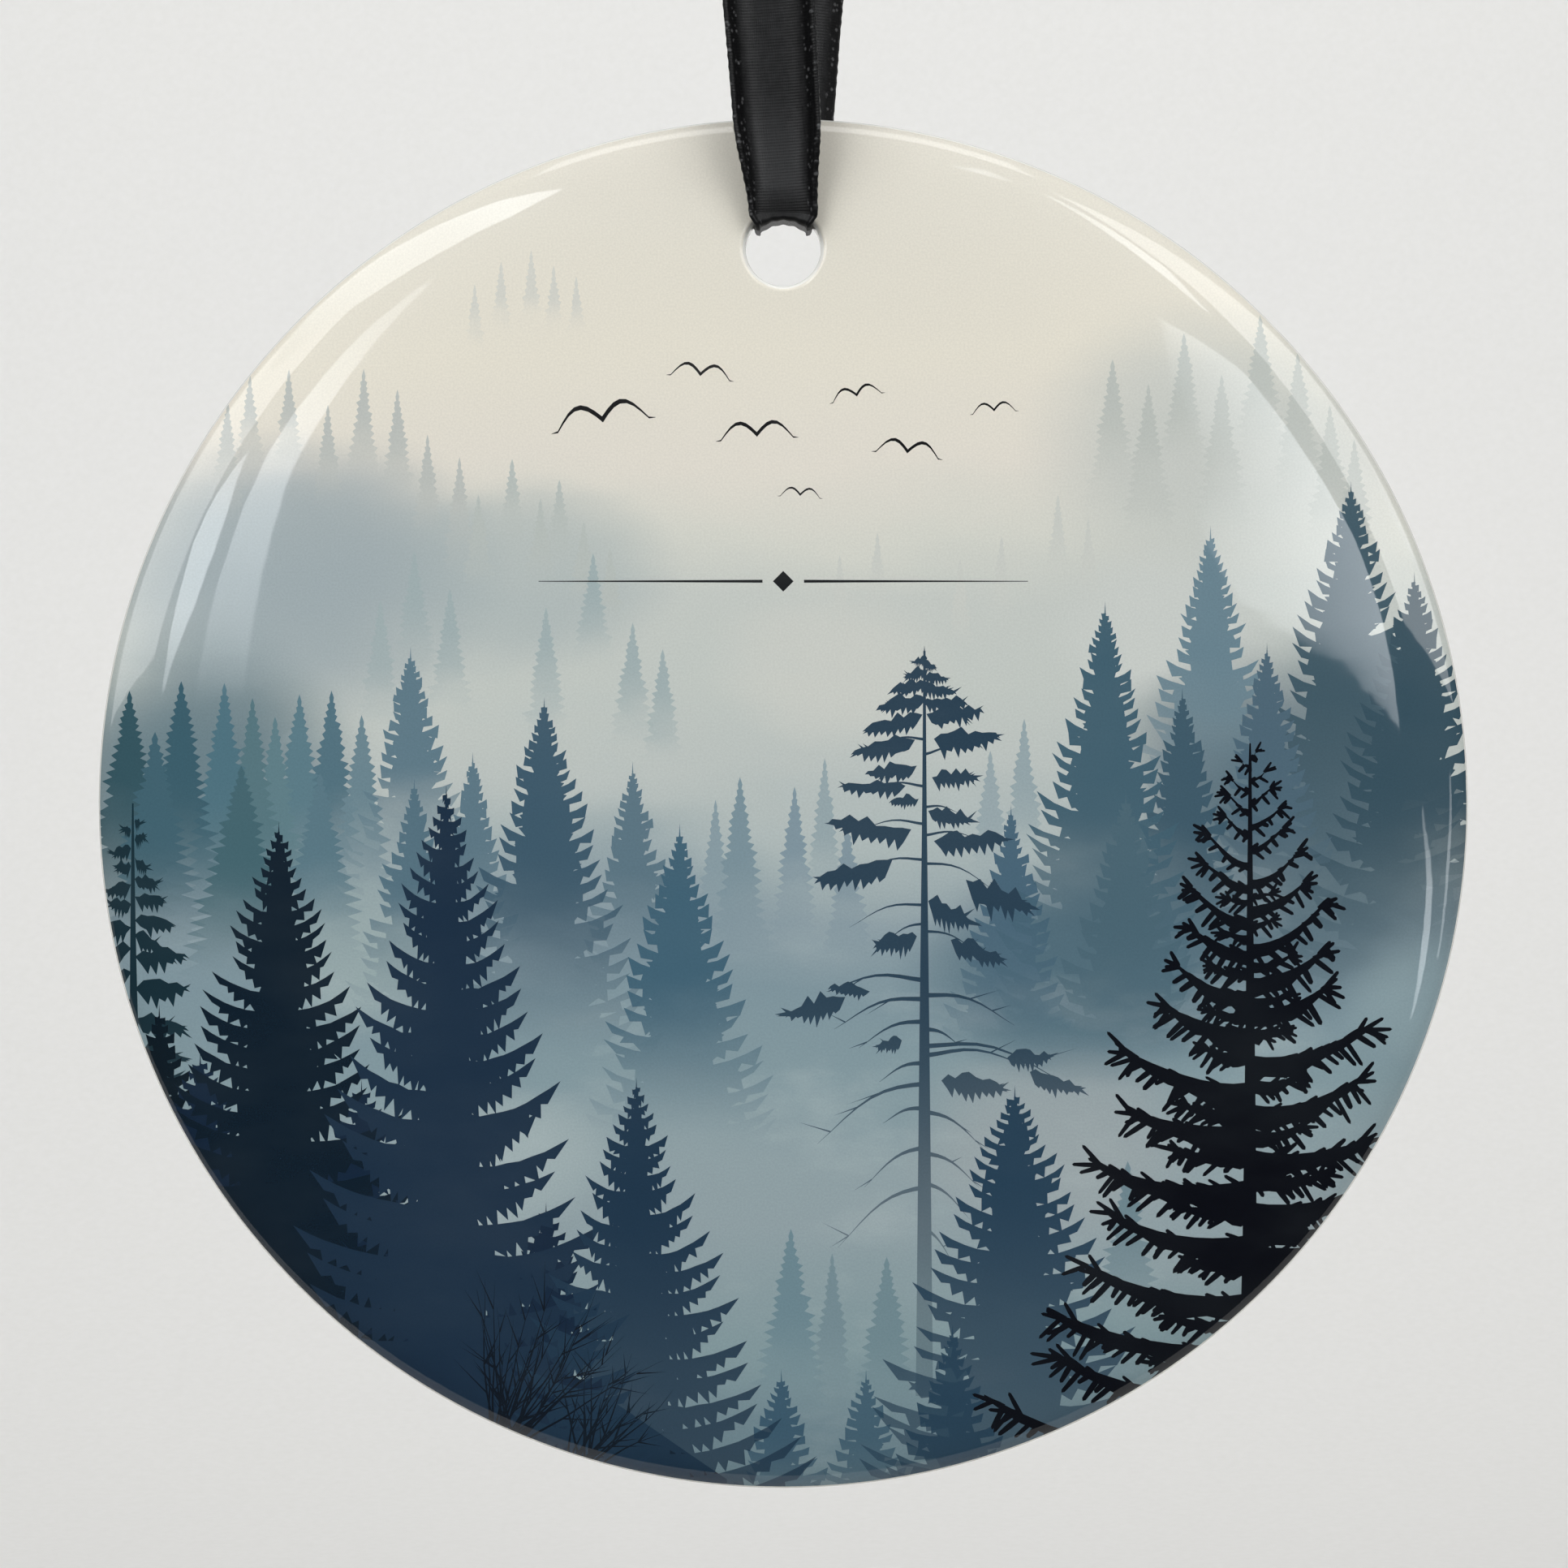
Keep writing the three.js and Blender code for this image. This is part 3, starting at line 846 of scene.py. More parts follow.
def bough(rng, x, z, side, reach, rise, sag, thick, teeth):
    """One bough that sags and then turns up to a point: smooth above, fringed below."""

    def spine(t):
        return x + side * reach * t, z + reach * (rise * t**1.7 - sag * 4 * t * (1 - t))

    above, below = [], []
    steps = max(4, teeth)
    for i in range(steps + 1):
        t = i / steps
        px, pz = spine(t)
        ragged = rng.uniform(0, 0.14) * thick if 0 < i < steps else 0
        above.append((px, pz + 0.3 * thick * (1 - t) ** 0.8 + ragged * (1 - t)))
    for i in range(teeth):
        tip = 0.9 - 0.9 * (i + rng.uniform(0.2, 0.6)) / (teeth + 0.2)
        notch = 0.9 - 0.9 * (i + rng.uniform(0.8, 1.05)) / (teeth + 0.2)
        px, pz = spine(tip)
        drop = thick * (0.85 * (1 - tip) ** 0.8 + rng.uniform(0.05, 0.42) * min(1, 2.6 * (1 - tip)))
        lean = side * rng.uniform(0.1, 0.7) * reach / teeth * min(1, 4 * (1 - tip))
        below.append((px + lean, pz - drop))
        px, pz = spine(notch)
        below.append((px, pz - thick * (1 - notch) ** 0.8 * rng.uniform(0.45, 0.8)))
    return above + below


def thorn(x, z, tip, half):
    """A pointed shoot from a place to its tip, with a half thickness at its root."""
    return [(x, z + half), tip, (x, z - half)]


# A blunt shoot's outline: share of its length and of its half width
BLUNT = ((0, 1.0), (0.55, 0.95), (0.92, 0.7), (1.0, 0.0), (0.92, -0.7), (0.55, -0.95), (0, -1.0))


def finger(x, z, angle, length, width):
    """One blunt shoot from a place, at an angle from level."""
    c, s = math.cos(angle), math.sin(angle)
    outline = []
    for along, half in BLUNT:
        outline.append((x + along * length * c - half * width * s, z + along * length * s + half * width * c))
    return outline


def near_bough(rng, x, z, side, reach, rise, thick):
    """A bough of the nearest tree: a wavy limb, shoots below it, short ones above, and a fan at the tip."""
    wave = rng.uniform(0, 6)
    stout = min(1, 0.5 + 0.14 * reach)

    def spine(t):
        bow = reach * (rise * t**1.4 - 0.24 * t * (1 - t))
        return x + side * reach * t, z + bow + 0.1 * t * math.sin(5 * t + wave)

    def shoot(t, angle, length, width):
        px, pz = spine(t)
        angle = angle if side > 0 else math.pi - angle
        outlines.append(finger(px, pz, angle, length, width * stout))

    upper, lower = [], []
    for i in range(9):
        px, pz = spine(i / 8)
        half = thick * (0.12 + 0.88 * (1 - i / 8) ** 0.7)
        upper.append((px, pz + 0.22 * half))
        lower.append((px, pz - 0.92 * half * rng.uniform(0.7, 1.2)))
    outlines = [upper + lower[::-1]]
    t = rng.uniform(0.02, 0.1)
    while t < 0.95:
        length = (0.3 + 1.15 * thick) * rng.uniform(0.65, 1.25) * (1.2 - 0.5 * t)
        shoot(t, -rng.uniform(0.4, 1.1), length, rng.uniform(0.13, 0.19))
        if rng.random() < 0.5:
            shoot(t, rng.uniform(0.3, 0.75), 0.55 * length, rng.uniform(0.11, 0.15))
        t += rng.uniform(0.36, 0.6) / max(reach, 0.9)
    size = 0.42 + 0.13 * min(reach, 7)
    for angle in (-0.8, -0.35, 0.1, 0.5, 0.95):
        if reach > 1.0 or angle > 0:
            place, way = rng.uniform(0.84, 0.98), angle + rng.uniform(-0.15, 0.15)
            shoot(place, way, size * rng.uniform(0.8, 1.3), 0.13)
    return outlines


def near_spruce(rng, x, top, bottom, spread):
    """The nearest tree, drawn with its separate shoots."""
    outlines = [both_sides(x, ((0.1, top - 1.2), (0.04, top + 0.3)))]
    outlines.append(both_sides(x, ((0.08, top - 1.0), (0.55, bottom))))
    for side in (-1, 1):
        level = top - rng.uniform(0.3, 0.8)
        while level > bottom:
            down = top - level
            gap = 0.95 + 1.75 * min(1, down / 17)
            thick = gap * mix(0.16, 0.5, min(1, down / 12))
            reach = (0.3 + spread * down) * rng.uniform(0.8, 1.08)
            rise = mix(0.85, 0.16, min(1, down / 20)) + rng.uniform(-0.08, 0.08)
            z = level - rise * reach * 0.45
            outlines += near_bough(rng, x, z, side, reach, rise, thick)
            if down > 6:
                inner = reach * rng.uniform(0.4, 0.65)
                outlines += near_bough(rng, x, z - 0.45 * gap, side, inner, rise * 0.3, 0.7 * thick)
            level -= gap * rng.uniform(0.85, 1.12)
    return outlines


def spruce(
    rng, x, top, bottom, spread, gap=1.3, teeth=6, power=0.95, solid=0.42, rises=(0.6, 0.25), fill=1.15
):
    """A spruce: a leader, a trunk, and boughs that get longer downwards. spread is half width over depth, gap
    the distance between boughs, solid the filled share of their reach, rises the turn-up of the top and
    bottom ones."""
    depth = top - bottom
    outlines = [[(x - 0.07, top - 0.9), (x, top + 0.35), (x + 0.07, top - 0.9)]]
    base = 0.16 + 0.008 * depth
    outlines.append(both_sides(x, ((0.04, top - 0.3), (base, bottom))))
    middle = []
    for side in (-1, 1):
        level = top - rng.uniform(0.25, 0.5)
        edge = []
        while level > bottom:
            down = top - level
            step = gap * (0.34 + 0.66 * min(1, down / (0.4 * depth)) ** 0.8)
            reach = (spread * down**power * depth ** (1 - power) + 0.1) * rng.uniform(0.8, 1.1)
            share = min(1, down / (0.6 * depth))
            rise = rises[0] + (rises[1] - rises[0]) * share + rng.uniform(-0.06, 0.06)
            thick = step * fill * rng.uniform(1.0, 1.3)
            count = max(2, int(round(teeth * min(1.25, 0.3 + reach / 4.5))))
            z = level - rise * reach * 0.5
            outlines.append(bough(rng, x - side * 0.05, z, side, reach, rise, 0.07, thick, count))
            edge.append((x + side * reach * solid * rng.uniform(0.8, 1.1), z - 0.1 * thick))
            edge.append((x + side * reach * solid * rng.uniform(0.55, 0.75), z - 0.75 * thick))
            level -= step * rng.uniform(0.9, 1.12)
        middle.append(edge)
    if solid > 0:
        outlines.append([(x, top - 0.5)] + middle[1] + [(x, bottom)] + middle[0][::-1])
    return outlines


def far_fir(rng, x, top, bottom, spread, gap=0.7):
    """A distant tree as one toothed outline."""
    sides = []
    for side in (-1, 1):
        points, level = [], top - 0.45
        while level > bottom:
            down = top - level
            reach = spread * down**0.9 * (top - bottom) ** 0.1 * rng.uniform(0.85, 1.15)
            points.append((x + side * reach, level + 0.1 * gap))
            points.append((x + side * reach * rng.uniform(0.6, 0.78), level - 0.3 * gap))
            level -= gap * (0.55 + 0.05 * down) * rng.uniform(0.85, 1.15)
        sides.append(points)
    return [[(x, top)] + sides[1] + [(x, bottom - 0.4)] + sides[0][::-1]]


def brush(rng, x0, z0, x1, z1, thick, points=9):
    """A tuft of pine needles from an inner to an outer place: humped above, ragged below and at its end."""
    upper, lower = [], []
    for i in range(points + 1):
        t = i / points
        px, pz = mix(x0, x1, t), mix(z0, z1, t)
        body = 1.12 * thick * math.sin(math.pi * min(1, 0.12 + 0.86 * t)) ** 0.6
        upper.append((px, pz + body * (0.45 + rng.uniform(-0.22, 0.26))))
        if i:
            ahead = (x1 - x0) * 0.6 / points
            lower.append((px - ahead * 0.2, pz - body * rng.uniform(0.15, 0.36)))
            lower.append((px + ahead, pz - body * rng.uniform(0.35, 0.85)))
    way = 1 if x1 > x0 else -1
    outlines = [upper + lower[::-1]]
    for i in range(5):
        t = rng.uniform(0.55, 0.98)
        px, pz = mix(x0, x1, t), mix(z0, z1, t)
        length, angle = thick * rng.uniform(0.5, 0.85), rng.uniform(-0.9, 0.8)
        tip = (px + way * length * math.cos(angle), pz + length * math.sin(angle))
        outlines.append(thorn(px, pz, tip, 0.13 * thick))
    return outlines


def limb(rng, x, z, reach, drop, thick, forks=2):
    """A bare branch with a taper and a few forks. A negative reach goes left."""
    steps = 8
    spine = []
    for i in range(steps + 1):
        t = i / steps
        hump = 0.12 * abs(reach) * math.sin(math.pi * t) ** 1.4 * 0.8
        spine.append((x + reach * t, z + hump - drop * t**1.3))
    upper = [(px, pz + thick * (1 - i / (steps + 0.5))) for i, (px, pz) in enumerate(spine)]
    lower = [(px, pz - thick * (1 - i / (steps + 0.5))) for i, (px, pz) in enumerate(spine)]
    outlines = [upper + lower[::-1]]
    for _ in range(forks):
        px, pz = spine[rng.randint(3, steps - 1)]
        length = reach * rng.uniform(0.2, 0.36)
        turn = rng.choice((-0.62, -0.35, 0.3, 0.5)) * abs(length)
        outlines.append(thorn(px, pz, (px + length, pz + turn), 0.045))
    return outlines


# The tall pine's tufts: inner and outer place from its trunk, height at both, and thickness
TUFTS = (
    (0.15, -0.55, 7.6, 7.5, 0.45), (-0.15, 0.6, 7.4, 7.2, 0.45), (0.2, -1.0, 7.0, 6.7, 0.6),
    (-0.2, 1.2, 6.7, 6.6, 0.6), (0.2, -1.7, 6.3, 6.0, 0.75), (-0.2, 1.6, 6.1, 5.9, 0.7),
    (0.1, -2.4, 5.4, 5.1, 0.85), (-0.1, 2.2, 5.3, 5.3, 0.8), (-0.1, -3.1, 4.4, 3.9, 0.85),
    (0.1, 3.0, 4.4, 4.9, 0.95), (-0.5, -3.7, 3.1, 2.7, 0.95), (0.5, 3.8, 3.0, 3.6, 1.1),
    (-0.4, -3.0, 1.7, 1.6, 0.8), (0.4, 2.7, 1.2, 1.4, 0.85), (-1.0, -4.4, 0.7, 0.9, 0.75),
    (-0.3, -1.8, 0.1, 0.1, 0.55), (0.2, 2.4, -0.6, -0.9, 0.95), (-0.7, -4.9, -1.9, -1.0, 1.2),
    (0.5, 4.2, -2.3, -1.9, 1.05), (-1.7, -5.6, -3.5, -4.1, 1.25), (2.2, 5.6, -4.6, -5.5, 1.5),
    (0.2, 2.4, -5.6, -6.3, 1.35), (-0.4, -2.6, -7.3, -7.6, 1.0), (1.4, 4.1, -7.6, -8.3, 1.0),
    (-4.2, -7.2, -10.6, -11.2, 1.15), (-2.9, -5.0, -10.1, -9.8, 0.65), (-1.2, -2.5, -12.8, -12.9, 0.75),
    (0.9, 4.2, -14.9, -15.2, 1.0), (4.4, 6.6, -13.7, -13.5, 0.9), (5.6, 8.3, -14.6, -15.2, 0.95),
)
# Its bare branches: height at the trunk, reach, drop and number of forks
LIMBS = (
    (3.4, -2.4, 0.3, 0), (2.6, 2.6, -0.4, 0), (0.9, -3.0, 0.2, 0), (-0.2, 1.8, 0.3, 0),
    (-1.1, -3.4, 0.3, 0), (-1.7, 2.9, 0.2, 0), (-3.0, -3.6, 0.8, 0), (-3.2, 3.8, 1.5, 0),
    (-5.4, -4.0, 1.2, 0), (-6.4, -2.2, 1.1, 0), (-6.8, 3.0, 1.3, 1), (-9.4, -5.2, 0.6, 1),
    (-10.4, -4.8, 1.6, 2), (-10.2, 4.8, 1.6, 2), (-11.6, -3.5, 1.4, 1), (-12.0, 1.9, 0.9, 1),
    (-12.9, 7.4, 1.9, 1), (-13.8, -2.4, 1.0, 0), (-13.4, 5.6, 0.6, 1), (-14.9, -5.7, 3.2, 3),
    (-16.4, 3.1, 1.9, 2), (-16.2, -2.2, 0.8, 1), (-18.3, -3.2, 2.1, 1), (-18.6, 2.9, 1.8, 2),
    (-20.2, 2.4, 1.9, 1), (-20.4, -4.6, 3.2, 2), (-22.6, 1.6, 2.0, 1),
)


def tall_pine(rng, x, top, bottom):
    """The tall pine: tufts on short branches above, bare crooked branches below."""
    outlines = [both_sides(x, ((0.06, top), (0.12, top - 8), (0.26, top - 20), (0.46, bottom)))]
    outlines.append([(x - 0.1, top - 0.6), (x, top + 0.3), (x + 0.1, top - 0.6)])
    for inner, outer, start, end, thick in TUFTS:
        outlines += brush(rng, x + inner, start, x + outer, end, thick)
    for start, reach, drop, forks in LIMBS:
        outlines += limb(rng, x, start, reach, drop, 0.13 if start < -8 else 0.08, forks)
    return outlines


def edge_pine(rng, x, top, bottom):
    """The thin pine at the left edge: short flat tufts up a bare trunk."""
    outlines = [both_sides(x, ((0.04, top + 0.4), (0.3, bottom)))]
    level, side = top - 0.7, 1
    while level > bottom:
        down = top - level
        reach = min(2.9, 0.35 + 0.3 * down) * rng.uniform(0.6, 1.1)
        tip = level + rng.uniform(-0.5, 0.4)
        outlines += brush(rng, x + side * 0.1, level, x + side * reach, tip, 0.55 + 0.05 * down, 6)
        level -= rng.uniform(0.35, 0.85) * (0.7 + 0.05 * down)
        side = -side
    return outlines


def shrub(rng, x, z, height, stems, lean):
    """Bare twigs that fan up from one root."""
    outlines = []
    for i in range(stems):
        fan = (i / (stems - 1) - 0.5) * 2 * lean * 1.3
        angle = math.radians(90 - lean + fan + rng.uniform(-4, 4))
        px, pz, width = x + rng.uniform(-0.8, 0.8), z, 0.075
        length = height * rng.uniform(0.55, 1.0)
        steps, left, right, forks = 6, [], [], []
        for k in range(steps + 1):
            taper = width * (1 - k / (steps + 0.3))
            nx, nz = -math.sin(angle), math.cos(angle)
            left.append((px + nx * taper, pz + nz * taper))
            right.append((px - nx * taper, pz - nz * taper))
            forks.append((px, pz, angle))
            px, pz = px + math.cos(angle) * length / steps, pz + math.sin(angle) * length / steps
            angle += rng.uniform(-0.12, 0.14)
        outlines.append(left + right[::-1])
        for _ in range(3):
            bx, bz, ba = forks[rng.randint(2, steps - 1)]
            ba += rng.choice((-1, 1)) * rng.uniform(0.35, 0.7)
            reach = length * rng.uniform(0.15, 0.3)
            tip = (bx + math.cos(ba) * reach, bz + math.sin(ba) * reach)
            side = (-math.sin(ba) * 0.045, math.cos(ba) * 0.045)
            outlines.append([(bx + side[0], bz + side[1]), tip, (bx - side[0], bz - side[1])])
    return outlines


def bird(x, z, span, tilt):
    """A far bird: two curved wings."""
    upper, lower = [], []
    c, s = math.cos(tilt), math.sin(tilt)
    for i in range(-8, 9):
        t = i / 8
        rise = 0.34 * math.sin(math.pi * min(1, abs(t) * 1.15)) - 0.12 * abs(t)
        thick = 0.055 * (1 - abs(t)) ** 0.6 + 0.004
        for line, way in ((upper, 1), (lower, -1)):
            px, pz = span / 2 * t, span / 2 * (rise + way * thick)
            line.append((x + c * px - s * pz, z + s * px + c * pz))
    return [upper + lower[::-1]]


def divider(x, z, half_width):
    """A plain rule with a small diamond in its middle."""
    rule = 0.05
    gap, diamond = 1.1, 0.55
    parts = [[(x - diamond, z), (x, z - diamond), (x + diamond, z), (x, z + diamond)]]
    for side in (-1, 1):
        a, b = x + side * gap, x + side * half_width
        parts.append([(a, z - rule * 1.6), (b, z - rule * 0.4), (b, z + rule * 0.4), (a, z + rule * 1.6)])
    return parts


# The palest firs, row by row: height, spread, ink, and each tree's place and top
FAR_ROWS = (
    (4.0, 0.17, "d3d2c9", ((-13.4, 29.4), (-12.2, 28.6), (-11.0, 28.0), (-15.0, 28.8), (-16.4, 27.6))),
    (6.5, 0.17, "bcbfba", (
        (-29.6, 21.4), (-28.4, 22.8), (-26.3, 23.1), (-24.2, 21.2), (-22.3, 23.1), (-20.5, 22.0),
        (-18.9, 19.6), (-17.2, 18.4),
    )),
    (9.0, 0.2, "bcc0ba", (
        (17.5, 23.6), (19.4, 22.3), (21.3, 25.0), (23.3, 22.8), (25.4, 26.0), (27.4, 24.0), (29.1, 21.2),
        (30.4, 19.4),
    )),
    (5.5, 0.2, "b9bfba", (
        (-16.2, 16.4), (-14.4, 18.3), (-12.9, 16.2), (-11.9, 17.2), (-10.6, 15.0), (-9.2, 13.6),
    )),
    (5.0, 0.17, "cbcdc6", ((14.6, 16.4), (16.2, 15.2), (11.6, 14.2), (9.4, 13.0), (5.0, 14.4), (3.0, 13.2))),
    (7.0, 0.2, "a2b0b1", (
        (-19.6, 13.4), (-17.7, 11.4), (-12.6, 10.4), (-10.1, 13.3), (-8.0, 9.6), (-6.4, 8.2), (-21.4, 10.8),
    )),
)
# Nearer firs: place, top, height, spread and ink
FIRS = (
    (12.8, 4.5, 9, 0.17, "97a7ab"), (11.0, 2.8, 8, 0.19, "9aa9ad"), (2.2, 2.4, 9, 0.16, "97a7ab"),
    (-3.6, 0.2, 8, 0.17, "8a9da4"), (-2.3, 1.4, 10, 0.19, "7c929b"), (0.6, 0.9, 9, 0.18, "8296a0"),
    (3.4, -1.0, 8, 0.2, "8497a0"), (0.4, -22.6, 11, 0.24, "6d8790"), (2.6, -23.9, 9, 0.17, "768c93"),
    (5.5, -24.1, 10, 0.24, "718990"), (18.3, -19.0, 9, 0.24, "70878f"), (-24.0, 6.0, 13, 0.2, "547380"),
    (-25.7, 5.8, 13, 0.2, "5d7d88"), (-22.4, 4.7, 12, 0.2, "6d8791"), (-27.0, 4.6, 12, 0.2, "618088"),
    (-28.2, 5.6, 13, 0.19, "58777f"), (-29.7, 6.4, 14, 0.2, "507380"), (-32.0, 6.5, 14, 0.22, "3c5e6b"),
    (-34.8, 6.0, 14, 0.24, "35555f"), (-33.4, 3.8, 13, 0.28, "426370"), (-28.8, 2.0, 13, 0.3, "45666f"),
    (-24.6, 1.6, 11, 0.28, "5b7985"),
)
# Spruces in the fog: place, top, height, spread, distance between boughs and ink
SPRUCES = (
    (22.7, 14.4, 16, 0.31, 0.8, "6a8490"), (30.2, 16.8, 26, 0.34, 1.0, "415965"),
    (33.6, 12.0, 24, 0.36, 1.0, "37505d"), (25.7, 8.2, 14, 0.3, 0.85, "4f6776"),
    (-19.8, 8.0, 13, 0.3, 0.75, "607b88"), (-8.0, 1.9, 12, 0.28, 0.75, "5d7683"),
    (-16.5, 2.4, 12, 0.26, 0.75, "5f7986"), (-19.6, 1.0, 12, 0.32, 0.85, "567280"),
    (12.1, -0.4, 13, 0.3, 0.8, "4a6678"), (21.2, 5.8, 15, 0.3, 0.85, "3f5a69"),
    (17.1, 10.4, 24, 0.3, 0.9, "42606f"), (18.2, 0.4, 14, 0.34, 0.9, "4b6673"),
    (-12.7, 5.3, 20, 0.33, 0.95, "3f5a6b"), (-5.5, -1.4, 17, 0.33, 0.95, "416274"),
)
# Birds: middle, span and tilt
BIRDS = (
    (-9.6, 20.4, 5.6, 0.16), (-4.4, 22.8, 3.6, -0.1), (-1.4, 19.6, 4.4, 0.05), (3.9, 21.7, 3.0, 0.2),
    (6.6, 18.7, 3.8, -0.12), (11.2, 20.9, 2.6, 0.08), (0.9, 16.4, 2.4, -0.06),
)


def forest():
    """Every drawing, farthest first: outlines, ink, the height where it starts to fade and where it ends."""
    layers = []

    def add(outlines, ink, fade_from=-60.0, fade_to=-61.0):
        layers.append((outlines, linear(ink), fade_from, fade_to))

    rng = random.Random(11)
    for height, spread, ink, trees in FAR_ROWS:
        for x, top in trees:
            fir = far_fir(rng, x, top, top - height, spread, 0.55)
            add(fir, ink, top - 0.25 * height, top - 0.95 * height)
    for x, top, height, spread, ink in FIRS:
        add(far_fir(rng, x, top, top - height, spread, 0.62), ink, top - 0.35 * height, top - 0.97 * height)
    rng = random.Random(23)
    for x, top, height, spread, gap, ink in SPRUCES:
        drawn = spruce(rng, x, top, top - height, spread, gap * 0.86, 4, 0.93, 0.7, (0.55, 0.25), 1.25)
        add(drawn, ink, top - 0.42 * height, top - 1.0 * height)
    add(tall_pine(rng, 7.5, 8.1, -31.5), "2b4152", -8.0, -46.0)
    rng = random.Random(5)
    add(spruce(rng, -0.1, -30.4, -37, 0.42, 0.6, 4, solid=0.6), "3c596b", -33.0, -40.0)
    add(spruce(rng, 4.4, -30.4, -37, 0.42, 0.6, 4, solid=0.6), "446070", -33.0, -40.0)
    add(spruce(rng, 9.0, -28.0, -37, 0.42, 0.7, 4, solid=0.6), "30495a", -33.0, -44.0)
    add(spruce(rng, 12.3, -15.3, -37, 0.42, 0.95, 5, 0.85, 0.55, (0.5, 0.2)), "253f53", -20.0, -60.0)
    add(edge_pine(rng, -34.6, -0.4, -16), "152d37", -10.0, -50.0)
    add(spruce(rng, -33.2, -11.0, -30, 0.42, 1.2, 5), "061722")
    slope = [(-40, -14), (-33, -15.5), (-27, -20), (-21, -23.5), (-14, -28.5), (-8, -32.5), (-3, -36)]
    add([slope + [(-3, -40), (-40, -40)]], "0f2030")
    for x, top in ((-31.0, -13.5), (-22.4, -15.0), (-12.6, -21.5), (-24.6, -20.0), (-15.2, -25.0)):
        add(spruce(rng, x, top, -37, 0.42, 1.1, 6, 0.8, 0.5, (0.5, 0.2)), "12253a")
    add(spruce(rng, -26.8, -1.3, -37, 0.365, 1.2, 6, 0.92, 0.5, (0.55, 0.2)), "0a1c2a")
    add(spruce(rng, -17.9, 0.65, -37, 0.305, 1.5, 8, 0.88, 0.36, (0.66, 0.26), 1.2), "1b2f43")
    add(spruce(rng, -7.8, -14.9, -37, 0.41, 1.15, 8, 0.93, 0.36, (0.6, 0.24), 1.2), "1f364a", -22.0, -75.0)
    add(shrub(rng, -15.0, -34.4, 9.6, 26, 24), "0a1420")
    add(shrub(rng, -11.0, -35.6, 7.0, 18, 26), "0c1824")
    add(near_spruce(rng, 24.8, 2.9, -37, 0.37), "04060f")
    for x, z, span, tilt in BIRDS:
        add(bird(x, z, span, tilt), "141517")
    add(divider(0.0, 11.8, 13.0), "1a1c1e")
    return layers


FOG_LOW, FOG_SPAN = -40.0, 80.0
# The fog's colour at each height, from the bottom up
FOG = (
    (-40.0, "6d858d"), (-33.0, "728890"), (-28.5, "859a9e"), (-23.0, "93a2a6"), (-19.0, "93a3a7"),
    (-15.0, "869ba1"), (-10.0, "82979f"), (-6.0, "92a2a8"), (-2.0, "aeb9b8"), (1.5, "bfc5c1"),
    (6.0, "c5cac4"), (11.0, "c7cbc5"), (14.2, "d6d6cc"), (18.0, "e3ddd1"), (24.0, "e6e0d1"),
    (31.0, "e1dccf"), (36.0, "dcd7cb"),
)
# Paler and darker patches in it: middle, half size, colour and strength
PATCHES = (
    ((-26.0, 12.5), (11.0, 7.5), "97a5ab", 0.8), ((-13.5, 12.0), (8.0, 5.0), "a3b0b2", 0.55),
    ((-31.0, 1.5), (9.0, 8.0), "4a6b78", 0.8), ((24.0, 18.5), (11.0, 8.0), "c4c8c3", 0.85),
    ((20.0, 9.0), (6.0, 4.0), "cfd2cd", 0.6), ((2.5, 7.0), (6.5, 4.5), "d2d2ca", 0.6),
    ((27.0, -3.0), (9.0, 8.0), "4c6572", 0.8), ((26.0, 3.0), (9.0, 6.0), "4a6472", 0.7),
    ((34.0, -10.0), (4.5, 4.0), "8fa3a8", 0.7), ((-15.0, -19.5), (6.5, 4.0), "a5b3b4", 0.8),
    ((-22.5, -8.0), (5.0, 4.5), "a9b8b4", 0.5), ((14.5, -18.0), (8.0, 5.0), "a3aaab", 0.6),
    ((16.5, -9.0), (10.0, 6.5), "4f6b79", 0.85), ((-8.0, -5.0), (9.0, 5.0), "7b909b", 0.45),
)


